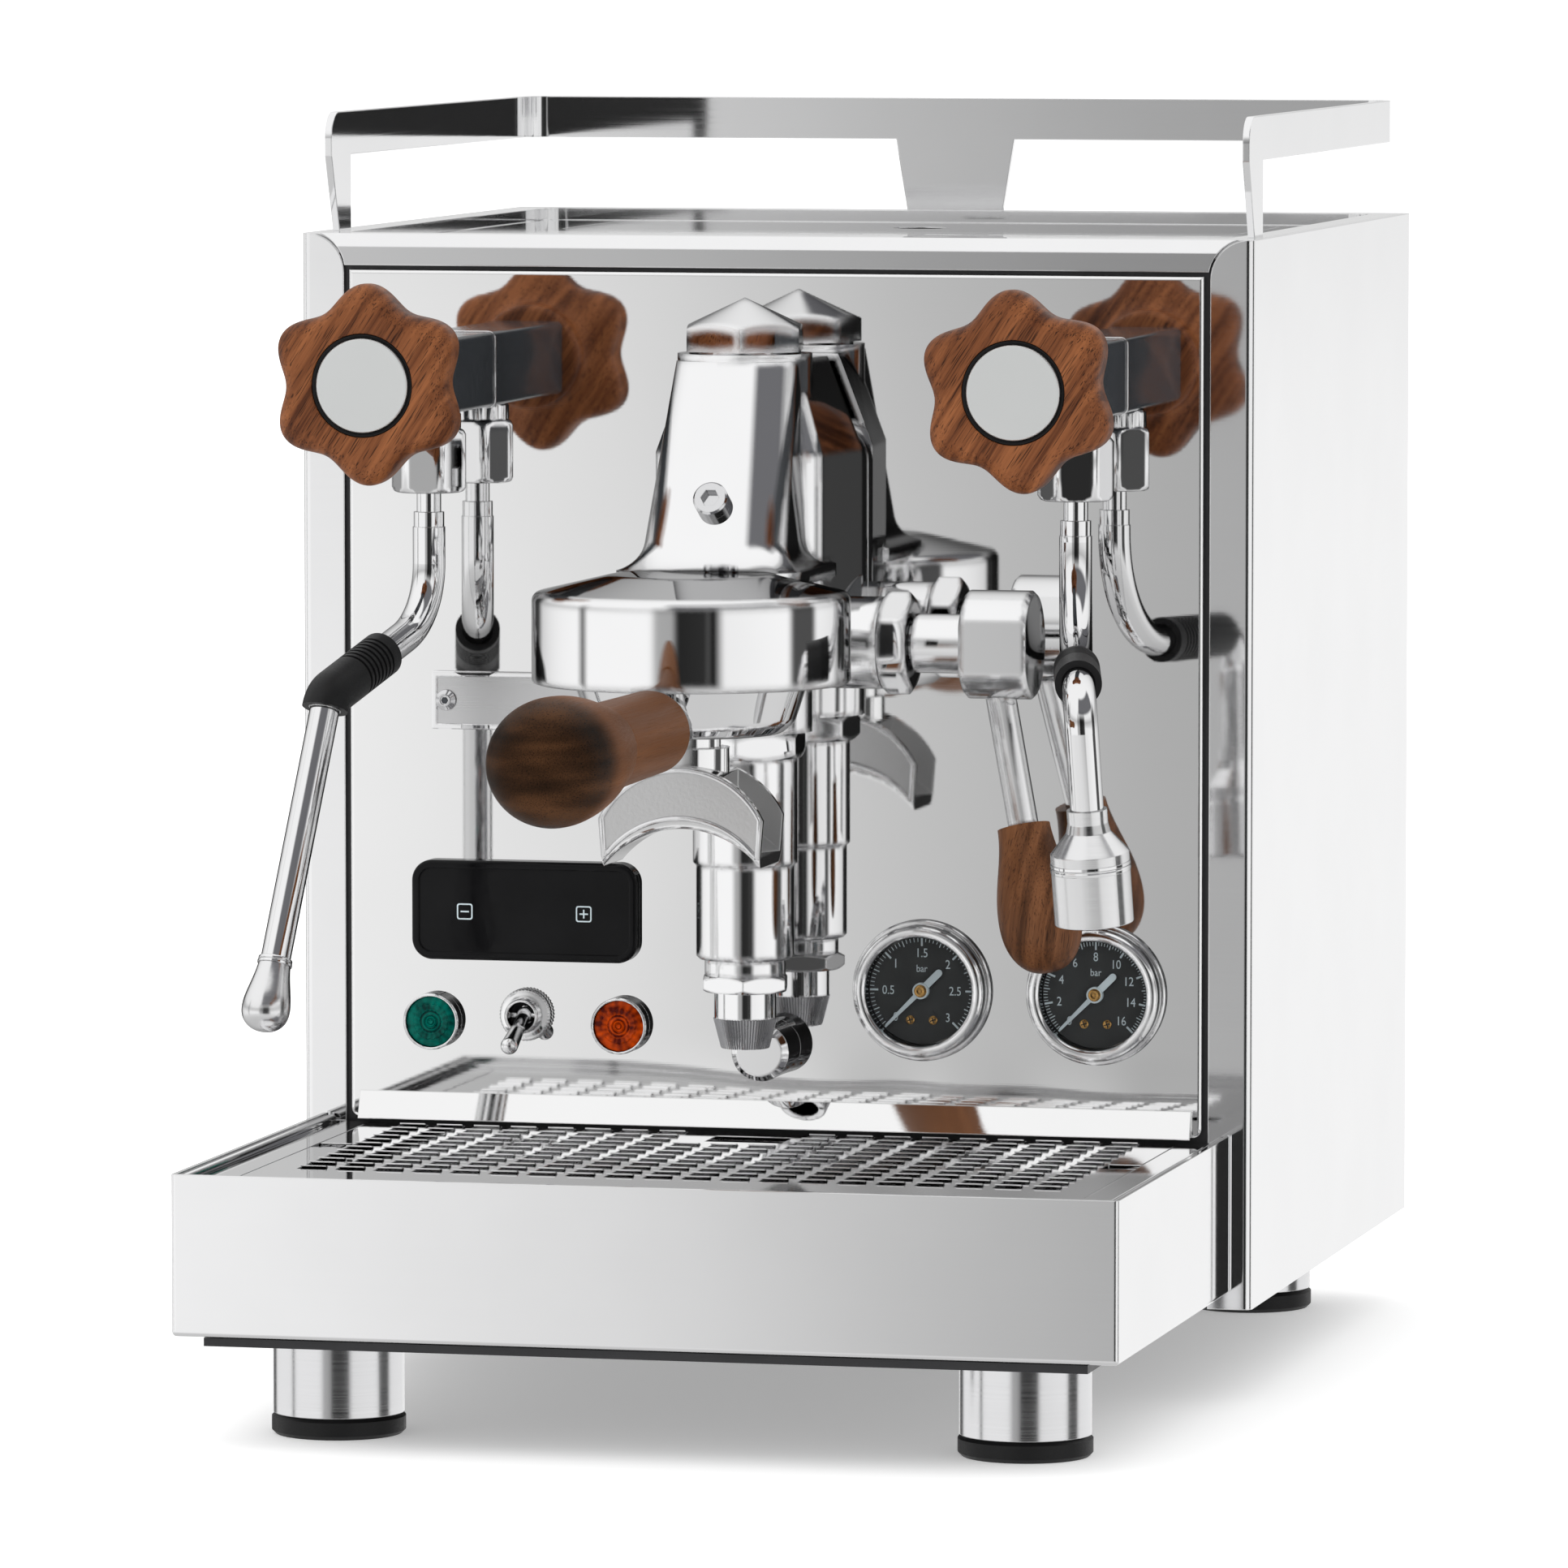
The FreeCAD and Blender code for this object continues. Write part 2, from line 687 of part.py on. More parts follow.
def bent_tube(points, bends, radius):
    """Round bar along straight runs that tangent arcs join, one bend radius per inner point."""
    edges = []
    start = points[0]
    for before, corner, after, bend in zip(points, points[1:], points[2:], bends):
        to_start = (before - corner).normalize()
        to_end = (after - corner).normalize()
        half = to_start.getAngle(to_end) / 2
        reach = bend / math.tan(half)
        arc_in = corner + to_start * reach
        arc_out = corner + to_end * reach
        middle = (to_start + to_end).normalize() * (bend / math.sin(half) - bend)
        edges.append(Part.makeLine(start, arc_in))
        edges.append(Part.Arc(arc_in, corner + middle, arc_out).toShape())
        start = arc_out
    edges.append(Part.makeLine(start, points[-1]))
    ring = Part.Wire(Part.makeCircle(radius, points[0], points[1] - points[0]))
    return Part.Wire(edges).makePipeShell([ring], True, False)


def mirrored_places(value):
    """The place on the left and on the right of the middle plane."""
    return (-value, value)


# Openings that the panel and the plate behind it share
def device_openings(gap):
    """Bars that pass where a device, spigot or bolt goes through the front."""
    back = SHEET + BULKHEAD_T + PAST
    front = PANEL_FRONT - PAST
    holes = [cylinder(GAUGE_CAN_R + gap, V(x, front, GAUGE_Z), V(x, back, GAUGE_Z)) for x in GAUGE_XS]
    holes += [cylinder(LAMP_BODY_R + gap, V(x, front, LAMP_Z), V(x, back, LAMP_Z)) for x in LAMP_XS]
    holes += [cylinder(SPIGOT_R + gap, V(0, front, z), V(0, back, z)) for z in SPIGOT_ZS]
    holes += [cylinder(BOLT_R + gap, V(x, front, z), V(x, back, z)) for x, z in bolt_places()]
    holes += [cylinder(SCREW_R + gap, V(x, front, PLATE_Z), V(x, back, PLATE_Z)) for x in plate_screw_xs()]
    for x in mirrored_places(VALVE_X):
        holes.append(cylinder(VALVE_TAIL_R + gap, V(x, front, VALVE_Z), V(x, back, VALVE_Z)))
    holes.append(cylinder(STUD_THREAD_R + gap, V(0, front, STUD_Z), V(0, back, STUD_Z)))
    holes.append(cylinder(TOGGLE_BUSH_R + gap, V(TOGGLE_X, front, TOGGLE_Z), V(TOGGLE_X, back, TOGGLE_Z)))
    width = DISPLAY_WIDTH - 2 * DISPLAY_BODY_INSET + 2 * gap
    height = DISPLAY_HEIGHT - 2 * DISPLAY_BODY_INSET + 2 * gap
    holes.append(front_plate(DISPLAY_X, DISPLAY_Z, width, height, PLATE_CORNER, front, back))
    return holes


def bolt_places():
    """Centres of the group's flange bolts as (x, z)."""
    across = GROUP_FLANGE_WIDTH / 2 - BOLT_INSET
    up = GROUP_FLANGE_HEIGHT / 2 - BOLT_INSET
    return [(x, GROUP_FLANGE_Z + z) for x in (-across, across) for z in (-up, up)]


def plate_screw_xs():
    """The two screws of the name plate."""
    return (PLATE_LEFT + PLATE_SCREW_INSET, PLATE_LEFT + PLATE_LENGTH - PLATE_SCREW_INSET)


def back_screw_places():
    """Screws of the back wall as (x, z), in two columns."""
    middle = (HOUSING_BOTTOM + HOUSING_TOP) / 2
    heights = (HOUSING_BOTTOM + SCREW_INSET, middle, CUP_TRAY_BOTTOM - SCREW_INSET)
    return [(x, z) for x in mirrored_places(HALF - SCREW_INSET) for z in heights]


# Carcass
def housing_shell():
    """Sides and back in one bent sheet, with flanges turned in at the front."""
    low = HOUSING_BOTTOM
    high = HOUSING_TOP
    outer = rounded_box(-HALF, HALF, 0, HOUSING_DEPTH, low, high, Z_AXIS, HOUSING_BEND)
    inner = rounded_box(-INNER, INNER, SHEET, HOUSING_DEPTH - SHEET, low - PAST, high + PAST,
                        Z_AXIS, INNER_BEND)
    mouth = box(-FLANGE_EDGE, FLANGE_EDGE, -PAST, SHEET + PAST, low - PAST, high + PAST)
    cuts = [inner, mouth]
    for side in (-1, 1):
        middle = side * (FLANGE_EDGE + FLANGE_ROUND)
        near, far = sorted((side * FLANGE_EDGE, middle))
        corner = box(near, far, -PAST, SHEET + PAST, high - FLANGE_ROUND, high + PAST)
        round_bar = cylinder(FLANGE_ROUND, V(middle, -2 * PAST, high - FLANGE_ROUND),
                             V(middle, SHEET + 2 * PAST, high - FLANGE_ROUND))
        cuts.append(corner.cut(round_bar))
    back = HOUSING_DEPTH
    cuts.append(front_plate(INLET_X, INLET_Z, INLET_WIDTH + 2 * FIT_GAP, INLET_HEIGHT + 2 * FIT_GAP,
                            INLET_CORNER, back - SHEET - PAST, back + PAST))
    for k in range(VENT_COUNT):
        cuts.append(front_plate(VENT_X, VENT_Z + k * VENT_PITCH, VENT_LENGTH, VENT_HEIGHT,
                                VENT_ROUND, back - SHEET - PAST, back + PAST))
    for x, z in back_screw_places():
        cuts.append(cylinder(SCREW_R + FIT_GAP, V(x, back - SHEET - PAST, z), V(x, back + PAST, z)))
    return outer.cut(cuts)


def base_frame():
    """Floor with a front apron, the plate behind the panel, boiler saddles and the tank shelf."""
    floor = rounded_box(-INNER, INNER, SHEET, HOUSING_DEPTH - SHEET, FLOOR_BOTTOM, FLOOR_TOP, Z_AXIS,
                        INNER_BEND)
    apron = box(-APRON_HALF, APRON_HALF, TRAY_FRONT + APRON_SETBACK, SHEET + PAST, FLOOR_BOTTOM, FLOOR_TOP)
    reach = INNER - INNER_BEND
    bulkhead = box(-reach, reach, SHEET, SHEET + BULKHEAD_T, FLOOR_TOP, CUP_TRAY_BOTTOM)
    bulkhead = bulkhead.cut(device_openings(2 * FIT_GAP))
    pieces = [apron, bulkhead]
    hollow = cylinder(BOILER_R + FIT_GAP, V(-INNER, BOILER_Y, BOILER_Z), V(INNER, BOILER_Y, BOILER_Z))
    for x in mirrored_places(SADDLE_X):
        saddle = box(x - BRACKET_T / 2, x + BRACKET_T / 2, BOILER_Y - SADDLE_WIDTH / 2,
                     BOILER_Y + SADDLE_WIDTH / 2, FLOOR_TOP, BOILER_Z - BOILER_R / 2)
        pieces.append(saddle.cut(hollow))
    shelf_top = TANK_BOTTOM - SLIDE_GAP
    pieces.append(box(-TANK_HALF, TANK_HALF, TANK_FRONT, TANK_BACK, shelf_top - BRACKET_T, shelf_top))
    for x0, x1 in ((-TANK_HALF, -TANK_HALF + BRACKET_T), (TANK_HALF - BRACKET_T, TANK_HALF)):
        pieces.append(box(x0, x1, TANK_FRONT, TANK_BACK, FLOOR_TOP, shelf_top - BRACKET_T))
    return floor.multiFuse(pieces).removeSplitter()


def front_panel():
    """Polished front sheet with turned edges and a lip that throws drips into the tray."""
    sheet = box(-PANEL_HALF, PANEL_HALF, PANEL_FRONT, SHEET, PANEL_BOTTOM, PANEL_TOP)
    low_corners = [e for e in straight_edges(sheet, Y_AXIS) if e.CenterOfMass.z < PANEL_BOTTOM + PAST]
    sheet = sheet.makeFillet(PANEL_CORNER, low_corners)
    sheet = sheet.makeFillet(PANEL_EDGE_R, front_edges(sheet, PANEL_FRONT))
    pocket = box(-PANEL_HALF + SHEET, PANEL_HALF - SHEET, PANEL_FRONT + SHEET, SHEET + PAST,
                 PANEL_BOTTOM + SHEET, PANEL_TOP - SHEET)
    sheet = sheet.cut([pocket] + device_openings(FIT_GAP))
    inset = PANEL_HALF - PANEL_CORNER
    root = PANEL_FRONT + PANEL_EDGE_R / 2
    lip = prism([V(-inset, root, PANEL_BOTTOM + LIP_HEIGHT),
                 V(-inset, PANEL_FRONT, PANEL_BOTTOM + LIP_HEIGHT),
                 V(-inset, PANEL_FRONT - LIP_REACH, PANEL_BOTTOM), V(-inset, root, PANEL_BOTTOM)],
                V(2 * inset, 0, 0))
    return sheet.fuse(lip).removeSplitter()


def flange_room():
    """Space of the two front flanges with the visor's gap around it."""
    rooms = []
    for side in (-1, 1):
        middle = side * (FLANGE_EDGE + FLANGE_ROUND)
        level = HOUSING_TOP - FLANGE_ROUND
        near, far = sorted((side * (FLANGE_EDGE - VISOR_GAP / 2), side * (HALF + PAST)))
        rooms.append(box(near, far, -2 * PAST, SHEET + VISOR_GAP / 4, FLOOR_TOP, level))
        rooms.append(cylinder(FLANGE_ROUND + VISOR_GAP / 2, V(middle, -2 * PAST, level),
                              V(middle, SHEET + VISOR_GAP / 4, level)))
    return rooms


def cup_tray():
    """Top plate with a raised rim, slots, a mouth for the tank and a sloping front visor."""
    reach = INNER - FIT_GAP
    back = HOUSING_DEPTH - SHEET - FIT_GAP
    plate_front = SHEET + VISOR_GAP / 4
    plate = rounded_box(-reach, reach, plate_front, back, CUP_TRAY_BOTTOM, HOUSING_TOP, Z_AXIS, INNER_BEND)
    visor_bottom = PANEL_TOP + VISOR_GAP
    visor_front = -VISOR_PROUD
    visor = prism([V(-reach, visor_front, visor_bottom), V(-reach, visor_front + SHEET / 4, CUP_FLOOR),
                   V(-reach, visor_front + VISOR_SLOPE, HOUSING_TOP), V(-reach, plate_front, HOUSING_TOP),
                   V(-reach, plate_front, CUP_TRAY_BOTTOM), V(-reach, SHEET, CUP_TRAY_BOTTOM),
                   V(-reach, SHEET, visor_bottom)], V(2 * reach, 0, 0))
    recess = rounded_box(-reach + CUP_RIM, reach - CUP_RIM, plate_front + CUP_RIM, back - CUP_RIM,
                         CUP_FLOOR, HOUSING_TOP + PAST, Z_AXIS, CUP_CORNER)
    mouth = rounded_box(-LID_HALF - SLIDE_GAP, LID_HALF + SLIDE_GAP, TANK_FRONT - LID_OVERHANG - SLIDE_GAP,
                        TANK_BACK + LID_OVERHANG + SLIDE_GAP, CUP_TRAY_BOTTOM - PAST, HOUSING_TOP + PAST,
                        Z_AXIS, TANK_CORNER + LID_OVERHANG + SLIDE_GAP)
    cuts = [recess, mouth]
    first_x = -(CUP_SLOT_COLUMNS - 1) * CUP_SLOT_PITCH_X / 2
    first_y = TANK_FRONT - LID_OVERHANG - CUP_SLOT_PITCH_Y - (CUP_SLOT_ROWS - 1) * CUP_SLOT_PITCH_Y
    for column in range(CUP_SLOT_COLUMNS):
        for row in range(CUP_SLOT_ROWS):
            x = first_x + column * CUP_SLOT_PITCH_X
            y = first_y + row * CUP_SLOT_PITCH_Y
            cuts.append(box(x - CUP_SLOT_LENGTH / 2, x + CUP_SLOT_LENGTH / 2, y - CUP_SLOT_WIDTH / 2,
                            y + CUP_SLOT_WIDTH / 2, CUP_TRAY_BOTTOM - PAST, CUP_FLOOR + PAST))
    visor = visor.cut(flange_room())
    return plate.fuse(visor).cut(cuts).removeSplitter()


def tank_lid():
    """Lid that caps the tank and lies level with the floor of the cup tray."""
    low = CUP_FLOOR - LID_SKIRT
    lid = rounded_box(-LID_HALF, LID_HALF, TANK_FRONT - LID_OVERHANG, TANK_BACK + LID_OVERHANG,
                      low, CUP_FLOOR, Z_AXIS, TANK_CORNER + LID_OVERHANG)
    gap = SLIDE_GAP
    under = rounded_box(-TANK_HALF - gap, TANK_HALF + gap, TANK_FRONT - gap, TANK_BACK + gap,
                        low - PAST, CUP_FLOOR - LID_T, Z_AXIS, TANK_CORNER + gap)
    middle = (TANK_FRONT + TANK_BACK) / 2
    grip = cylinder(LID_GRIP_R, V(0, middle, low - PAST), V(0, middle, CUP_FLOOR + PAST))
    return lid.cut([under, grip])


def cup_rail():
    """Guard rail bent from one strip, with a leaning leg at each front end and one at the back."""
    band = rounded_box(-RAIL_HALF, RAIL_HALF, RAIL_FRONT - 2 * RAIL_CORNER, RAIL_BACK, BAND_BOTTOM, RAIL_TOP,
                       Z_AXIS, RAIL_CORNER)
    inner = rounded_box(-RAIL_HALF + RAIL_T, RAIL_HALF - RAIL_T, RAIL_FRONT - 4 * RAIL_CORNER,
                        RAIL_BACK - RAIL_T, BAND_BOTTOM - PAST, RAIL_TOP + PAST, Z_AXIS, RAIL_CORNER - RAIL_T)
    past = RAIL_HALF + PAST
    front = box(-past, past, RAIL_FRONT - 4 * RAIL_CORNER, RAIL_FRONT, BAND_BOTTOM - PAST, RAIL_TOP + PAST)
    band = band.cut([inner, front])
    tops = [e for e in straight_edges(band, X_AXIS)
            if abs(e.CenterOfMass.y - RAIL_FRONT) < 1e-4 and abs(e.CenterOfMass.z - RAIL_TOP) < 1e-4]
    band = band.makeFillet(RAIL_CORNER, tops)
    legs = []
    for x in (-RAIL_HALF, RAIL_HALF - RAIL_T):
        legs.append(prism([V(x, RAIL_FRONT + RAIL_LEG_LEAN, HOUSING_TOP), V(x, RAIL_LEG_REAR, HOUSING_TOP),
                           V(x, RAIL_LEG_REAR, BAND_BOTTOM + PAST), V(x, RAIL_FRONT, BAND_BOTTOM + PAST),
                           V(x, RAIL_FRONT, BAND_BOTTOM)], V(RAIL_T, 0, 0)))
    foot = RAIL_BACK_LEG_FOOT / 2
    top = RAIL_BACK_LEG_TOP / 2
    y = RAIL_BACK - RAIL_T
    legs.append(prism([V(-foot, y, HOUSING_TOP), V(foot, y, HOUSING_TOP), V(top, y, BAND_BOTTOM + PAST),
                       V(-top, y, BAND_BOTTOM + PAST)], V(0, RAIL_T, 0)))
    return band.multiFuse(legs).removeSplitter()


# Drip tray
def drip_tray():
    """Drawer of folded sheet with an inner frame that carries the grate."""
    block = box(-TRAY_HALF, TRAY_HALF, TRAY_FRONT, TRAY_BACK, TRAY_BOTTOM, TRAY_TOP)
    low_edges = [e for e in block.Edges if e.BoundBox.ZMax < TRAY_BOTTOM + PAST]
    block = block.makeFillet(TRAY_BEND, straight_edges(block, Z_AXIS) + low_edges)
    wall = TRAY_WALL
    rear_wall_top = GRATE_SEAT
    top_room = box(-TRAY_INNER, TRAY_INNER, TRAY_FRONT + wall, TRAY_BACK + PAST,
                   TRAY_FRAME_TOP, TRAY_TOP + PAST)
    ledge_half = GRATE_HALF + SLIDE_GAP
    seat_room = box(-ledge_half, ledge_half, GRATE_FRONT - SLIDE_GAP, TRAY_BACK + PAST,
                    rear_wall_top, TRAY_TOP + PAST)
    under = TRAY_FRAME_TOP - TRAY_FRAME_T
    basin = box(-TRAY_INNER, TRAY_INNER, TRAY_FRONT + wall, TRAY_BACK - wall, TRAY_BOTTOM + wall, under)
    hole = box(-ledge_half + TRAY_LEDGE, ledge_half - TRAY_LEDGE, GRATE_FRONT + TRAY_LEDGE, TRAY_BACK - wall,
               under - PAST, TRAY_TOP + PAST)
    return block.cut([top_room, seat_room, basin, hole])


def drip_grate():
    """Flat grate with rows of slots and a finger hole at the back."""
    low = TRAY_FRAME_TOP - GRATE_T - PAST
    high = TRAY_FRAME_TOP + PAST
    plate = rounded_box(-GRATE_HALF, GRATE_HALF, GRATE_FRONT, GRATE_BACK, TRAY_FRAME_TOP - GRATE_T,
                        TRAY_FRAME_TOP, Z_AXIS, PLATE_CORNER)
    finger = centred_box(FINGER_X, FINGER_WIDTH, FINGER_Y, FINGER_DEPTH, low, high)
    around = centred_box(FINGER_X, FINGER_WIDTH + SLOT_WIDTH, FINGER_Y, FINGER_DEPTH + SLOT_WIDTH, low, high)
    first_x = -(SLOT_COLUMNS - 1) * SLOT_PITCH_X / 2
    slots = [finger]
    for column in range(SLOT_COLUMNS):
        for row in range(SLOT_ROWS):
            x = first_x + column * SLOT_PITCH_X
            y = SLOT_LAST_ROW - row * SLOT_PITCH_Y
            slot = centred_box(x, SLOT_LENGTH, y, SLOT_WIDTH, low, high)
            if slot.common(around).Volume < RUN_GAP:
                slots.append(slot)
    for x in mirrored_places(GRATE_HALF):
        slots.append(centred_box(x, 2 * NOTCH_DEPTH, NOTCH_Y, NOTCH_WIDTH, low, high))
    return plate.cut(Part.makeCompound(slots))


# Feet
def foot_places():
    """Middles of the four feet on the ground."""
    return [V(x, y, 0) for x in mirrored_places(FOOT_X) for y in (FOOT_FRONT_Y, FOOT_REAR_Y)]


def foot_sleeves():
    """Four round steel legs under the floor."""
    outline = [(0, FOOT_PAD_H), (FOOT_SLEEVE_R, FOOT_PAD_H), (FOOT_SLEEVE_R, FLOOR_BOTTOM), (0, FLOOR_BOTTOM)]
    return Part.makeCompound([turned(outline, place, Z_AXIS) for place in foot_places()])


def foot_pads():
    """Four rubber pads that the machine stands on."""
    r = FOOT_PAD_R
    outline = [(0, 0), (r - FOOT_EDGE, 0), (r, FOOT_EDGE), (r, FOOT_PAD_H - FOOT_EDGE),
               (r - FOOT_EDGE, FOOT_PAD_H), (0, FOOT_PAD_H)]
    return Part.makeCompound([turned(outline, place, Z_AXIS) for place in foot_places()])


# Gauges
def gauge_case(x):
    """One can behind the panel, with a flange and a rounded ring in front."""
    base = V(x, PANEL_FRONT, GAUGE_Z)
    bore = GAUGE_BORE_R
    pin = NEEDLE_PIN_R + RUN_GAP
    can_end = -GAUGE_CAN_DEPTH
    case = turned([(pin, -GAUGE_PROUD), (pin, can_end + PAST), (0, can_end + PAST), (0, can_end),
                   (GAUGE_CAN_R, can_end), (GAUGE_CAN_R, 0), (GAUGE_R, 0), (GAUGE_R, BEZEL_FLANGE_H),
                   (BEZEL_RING_R, BEZEL_FLANGE_H), (BEZEL_RING_R, GAUGE_PROUD), (bore, GAUGE_PROUD),
                   (bore, DIAL_SEAT), (pin, DIAL_SEAT)], base, FORWARD)
    ring = ring_edges(case, base, FORWARD, [(BEZEL_RING_R, GAUGE_PROUD), (bore, GAUGE_PROUD)])
    case = case.makeFillet(BEZEL_ROUND, ring)
    return case.makeFillet(BEZEL_FLANGE_EDGE, ring_edges(case, base, FORWARD, [(GAUGE_R, BEZEL_FLANGE_H)]))


def gauge_cases():
    """The cans and bezels of both gauges."""
    return Part.makeCompound([gauge_case(x) for x in GAUGE_XS])


def gauge_dials():
    """Two round dial plates."""
    inner = NEEDLE_PIN_R + FIT_GAP
    outer = GAUGE_BORE_R - FIT_GAP
    front = DIAL_SEAT + DIAL_T
    outline = [(inner, DIAL_SEAT), (outer, DIAL_SEAT), (outer, front), (inner, front)]
    return Part.makeCompound([turned(outline, V(x, PANEL_FRONT, GAUGE_Z), FORWARD) for x in GAUGE_XS])


def gauge_glasses():
    """Two flat glasses in the bezels."""
    outer = GAUGE_BORE_R - FIT_GAP
    top = GLASS_HEIGHT + GLASS_T
    outline = [(0, GLASS_HEIGHT), (outer, GLASS_HEIGHT), (outer, top), (0, top)]
    return Part.makeCompound([turned(outline, V(x, PANEL_FRONT, GAUGE_Z), FORWARD) for x in GAUGE_XS])


def gauge_needle(x):
    """Pointer with a broad rounded tail on a pin that turns in the case."""
    root = V(x, PANEL_FRONT, GAUGE_Z)
    pin_end = -GAUGE_PROUD + PAST
    foot = DIAL_SEAT + DIAL_T + FIT_GAP
    top = NEEDLE_HEIGHT + 2 * NEEDLE_T
    hub = turned([(0, pin_end), (NEEDLE_PIN_R, pin_end), (NEEDLE_PIN_R, foot), (NEEDLE_HUB_R, foot),
                  (NEEDLE_HUB_R, top), (0, top)], root, FORWARD)
    tip = NEEDLE_TIP_WIDTH / 2
    broad = NEEDLE_ROOT_WIDTH / 2
    y = PANEL_FRONT - NEEDLE_HEIGHT
    blade = prism([V(x, y, GAUGE_Z - broad), V(x + NEEDLE_REACH, y, GAUGE_Z - tip),
                   V(x + NEEDLE_REACH, y, GAUGE_Z + tip), V(x, y, GAUGE_Z + broad)], V(0, -NEEDLE_T, 0))
    half = NEEDLE_TAIL_WIDTH / 2
    tail_x = x - NEEDLE_TAIL + half
    tail = box(tail_x, x, y - NEEDLE_T, y, GAUGE_Z - half, GAUGE_Z + half)
    tail_end = cylinder(half, V(tail_x, y, GAUGE_Z), V(tail_x, y - NEEDLE_T, GAUGE_Z))
    needle = hub.multiFuse([blade, tail, tail_end]).removeSplitter()
    needle.rotate(V(x, 0, GAUGE_Z), FORWARD, NEEDLE_REST_DEG)
    return needle


def boiler_needle():
    """Pointer of the left gauge, at zero."""
    return gauge_needle(GAUGE_XS[0])


def pump_needle():
    """Pointer of the right gauge, at zero."""
    return gauge_needle(GAUGE_XS[1])


# Display, lamps and switch
def display_panel():
    """Black display with a raised frame, set into the panel."""
    front = PANEL_FRONT - DISPLAY_PROUD
    block = front_plate(DISPLAY_X, DISPLAY_Z, DISPLAY_WIDTH, DISPLAY_HEIGHT, DISPLAY_CORNER,
                        front, PANEL_FRONT)
    block = block.makeFillet(DISPLAY_RECESS * 2, front_edges(block, front))
    face = front_plate(DISPLAY_X, DISPLAY_Z,
                       DISPLAY_WIDTH - 2 * DISPLAY_FRAME, DISPLAY_HEIGHT - 2 * DISPLAY_FRAME,
                       DISPLAY_CORNER - DISPLAY_FRAME, front - PAST, front + DISPLAY_RECESS)
    body = front_plate(DISPLAY_X, DISPLAY_Z, DISPLAY_WIDTH - 2 * DISPLAY_BODY_INSET,
                       DISPLAY_HEIGHT - 2 * DISPLAY_BODY_INSET, PLATE_CORNER, PANEL_FRONT,
                       PANEL_FRONT + DISPLAY_BODY_DEPTH)
    return block.cut(face).fuse(body).removeSplitter()


def lamp_bezels():
    """Two chromed rings round the lamps."""
    edge = (LAMP_R - LAMP_BORE_R) / 2
    outline = [(LAMP_BORE_R, 0), (LAMP_R, 0), (LAMP_R, LAMP_PROUD - edge), (LAMP_R - edge, LAMP_PROUD),
               (LAMP_BORE_R, LAMP_PROUD)]
    return Part.makeCompound([turned(outline, V(x, PANEL_FRONT, LAMP_Z), FORWARD) for x in LAMP_XS])


def lamp_lens(x):
    """Stepped lens on a body that goes through the panel."""
    outer = LAMP_BORE_R - FIT_GAP
    outline = [(0, -LAMP_BODY_DEPTH), (LAMP_BODY_R, -LAMP_BODY_DEPTH), (LAMP_BODY_R, 0), (outer, 0),
               (outer, LAMP_SHOULDER), (LAMP_CROWN_R, LAMP_LENS_PROUD), (0, LAMP_LENS_PROUD)]
    return turned(outline, V(x, PANEL_FRONT, LAMP_Z), FORWARD)


def green_lens():
    """Green lamp on the left."""
    return lamp_lens(LAMP_XS[0])


def orange_lens():
    """Orange lamp on the right."""
    return lamp_lens(LAMP_XS[1])


def toggle_pivot():
    """Point that the toggle turns about."""
    return V(TOGGLE_X, PANEL_FRONT - TOGGLE_PIVOT, TOGGLE_Z)


def toggle_collar():
    """Switch body with its bush and round nut."""
    floor = TOGGLE_PIVOT - TOGGLE_BALL_R - FIT_GAP * 3
    neck = TOGGLE_BUSH_R
    outline = [(0, -TOGGLE_BODY_DEPTH), (neck, -TOGGLE_BODY_DEPTH), (neck, 0), (TOGGLE_NUT_R, 0),
               (TOGGLE_NUT_R, TOGGLE_NUT_T), (neck, TOGGLE_NUT_T), (neck, TOGGLE_BUSH_PROUD),
               (TOGGLE_BORE_R, TOGGLE_BUSH_PROUD), (TOGGLE_BORE_R, floor), (0, floor)]
    collar = turned(outline, V(TOGGLE_X, PANEL_FRONT, TOGGLE_Z), FORWARD)
    pivot = toggle_pivot()
    reach = X_AXIS * (neck - FIT_GAP * 4)
    end = X_AXIS * RUN_GAP
    return collar.cut(cylinder(TOGGLE_PIN_R + RUN_GAP, pivot - reach - end, pivot + reach + end))


def toggle_lever():
    """Bat with a ball at its end, on a cross pin."""
    pivot = toggle_pivot()
    tilt = math.radians(TOGGLE_DOWN_DEG)
    along = V(0, -math.cos(tilt), -math.sin(tilt))
    bat = turned([(0, 0), (TOGGLE_ROOT_R, 0), (TOGGLE_TIP_R, TOGGLE_LENGTH - TOGGLE_TIP_R),
                  (0, TOGGLE_LENGTH - TOGGLE_TIP_R)], pivot, along)
    tip = Part.makeSphere(TOGGLE_TIP_R, pivot + along * (TOGGLE_LENGTH - TOGGLE_TIP_R))
    ball = Part.makeSphere(TOGGLE_BALL_R, pivot)
    reach = X_AXIS * (TOGGLE_BUSH_R - FIT_GAP * 5)
    pin = cylinder(TOGGLE_PIN_R, pivot - reach, pivot + reach)
    return bat.multiFuse([tip, ball, pin]).removeSplitter()


# Brew group
def nose_share(z):
    """How far up the nose a height lies, from zero at its foot to one at its top."""
    return (z - BELL_TOP) / (COLUMN_TOP - BELL_TOP)


def nose_front(z):
    """How far forward the nose reaches at a height."""
    return VALVE_Y - NOSE_FOOT_REACH - nose_share(z) * (NOSE_TOP_REACH - NOSE_FOOT_REACH)


def nose_section(z, flare):
    """Level section of the nose, grown by the flare of its skirt."""
    half = NOSE_FOOT_HALF + nose_share(z) * (NOSE_TOP_HALF - NOSE_FOOT_HALF) + flare
    return level_section(half, half, nose_front(z) - flare, VALVE_Y, z, NOSE_ROUND)


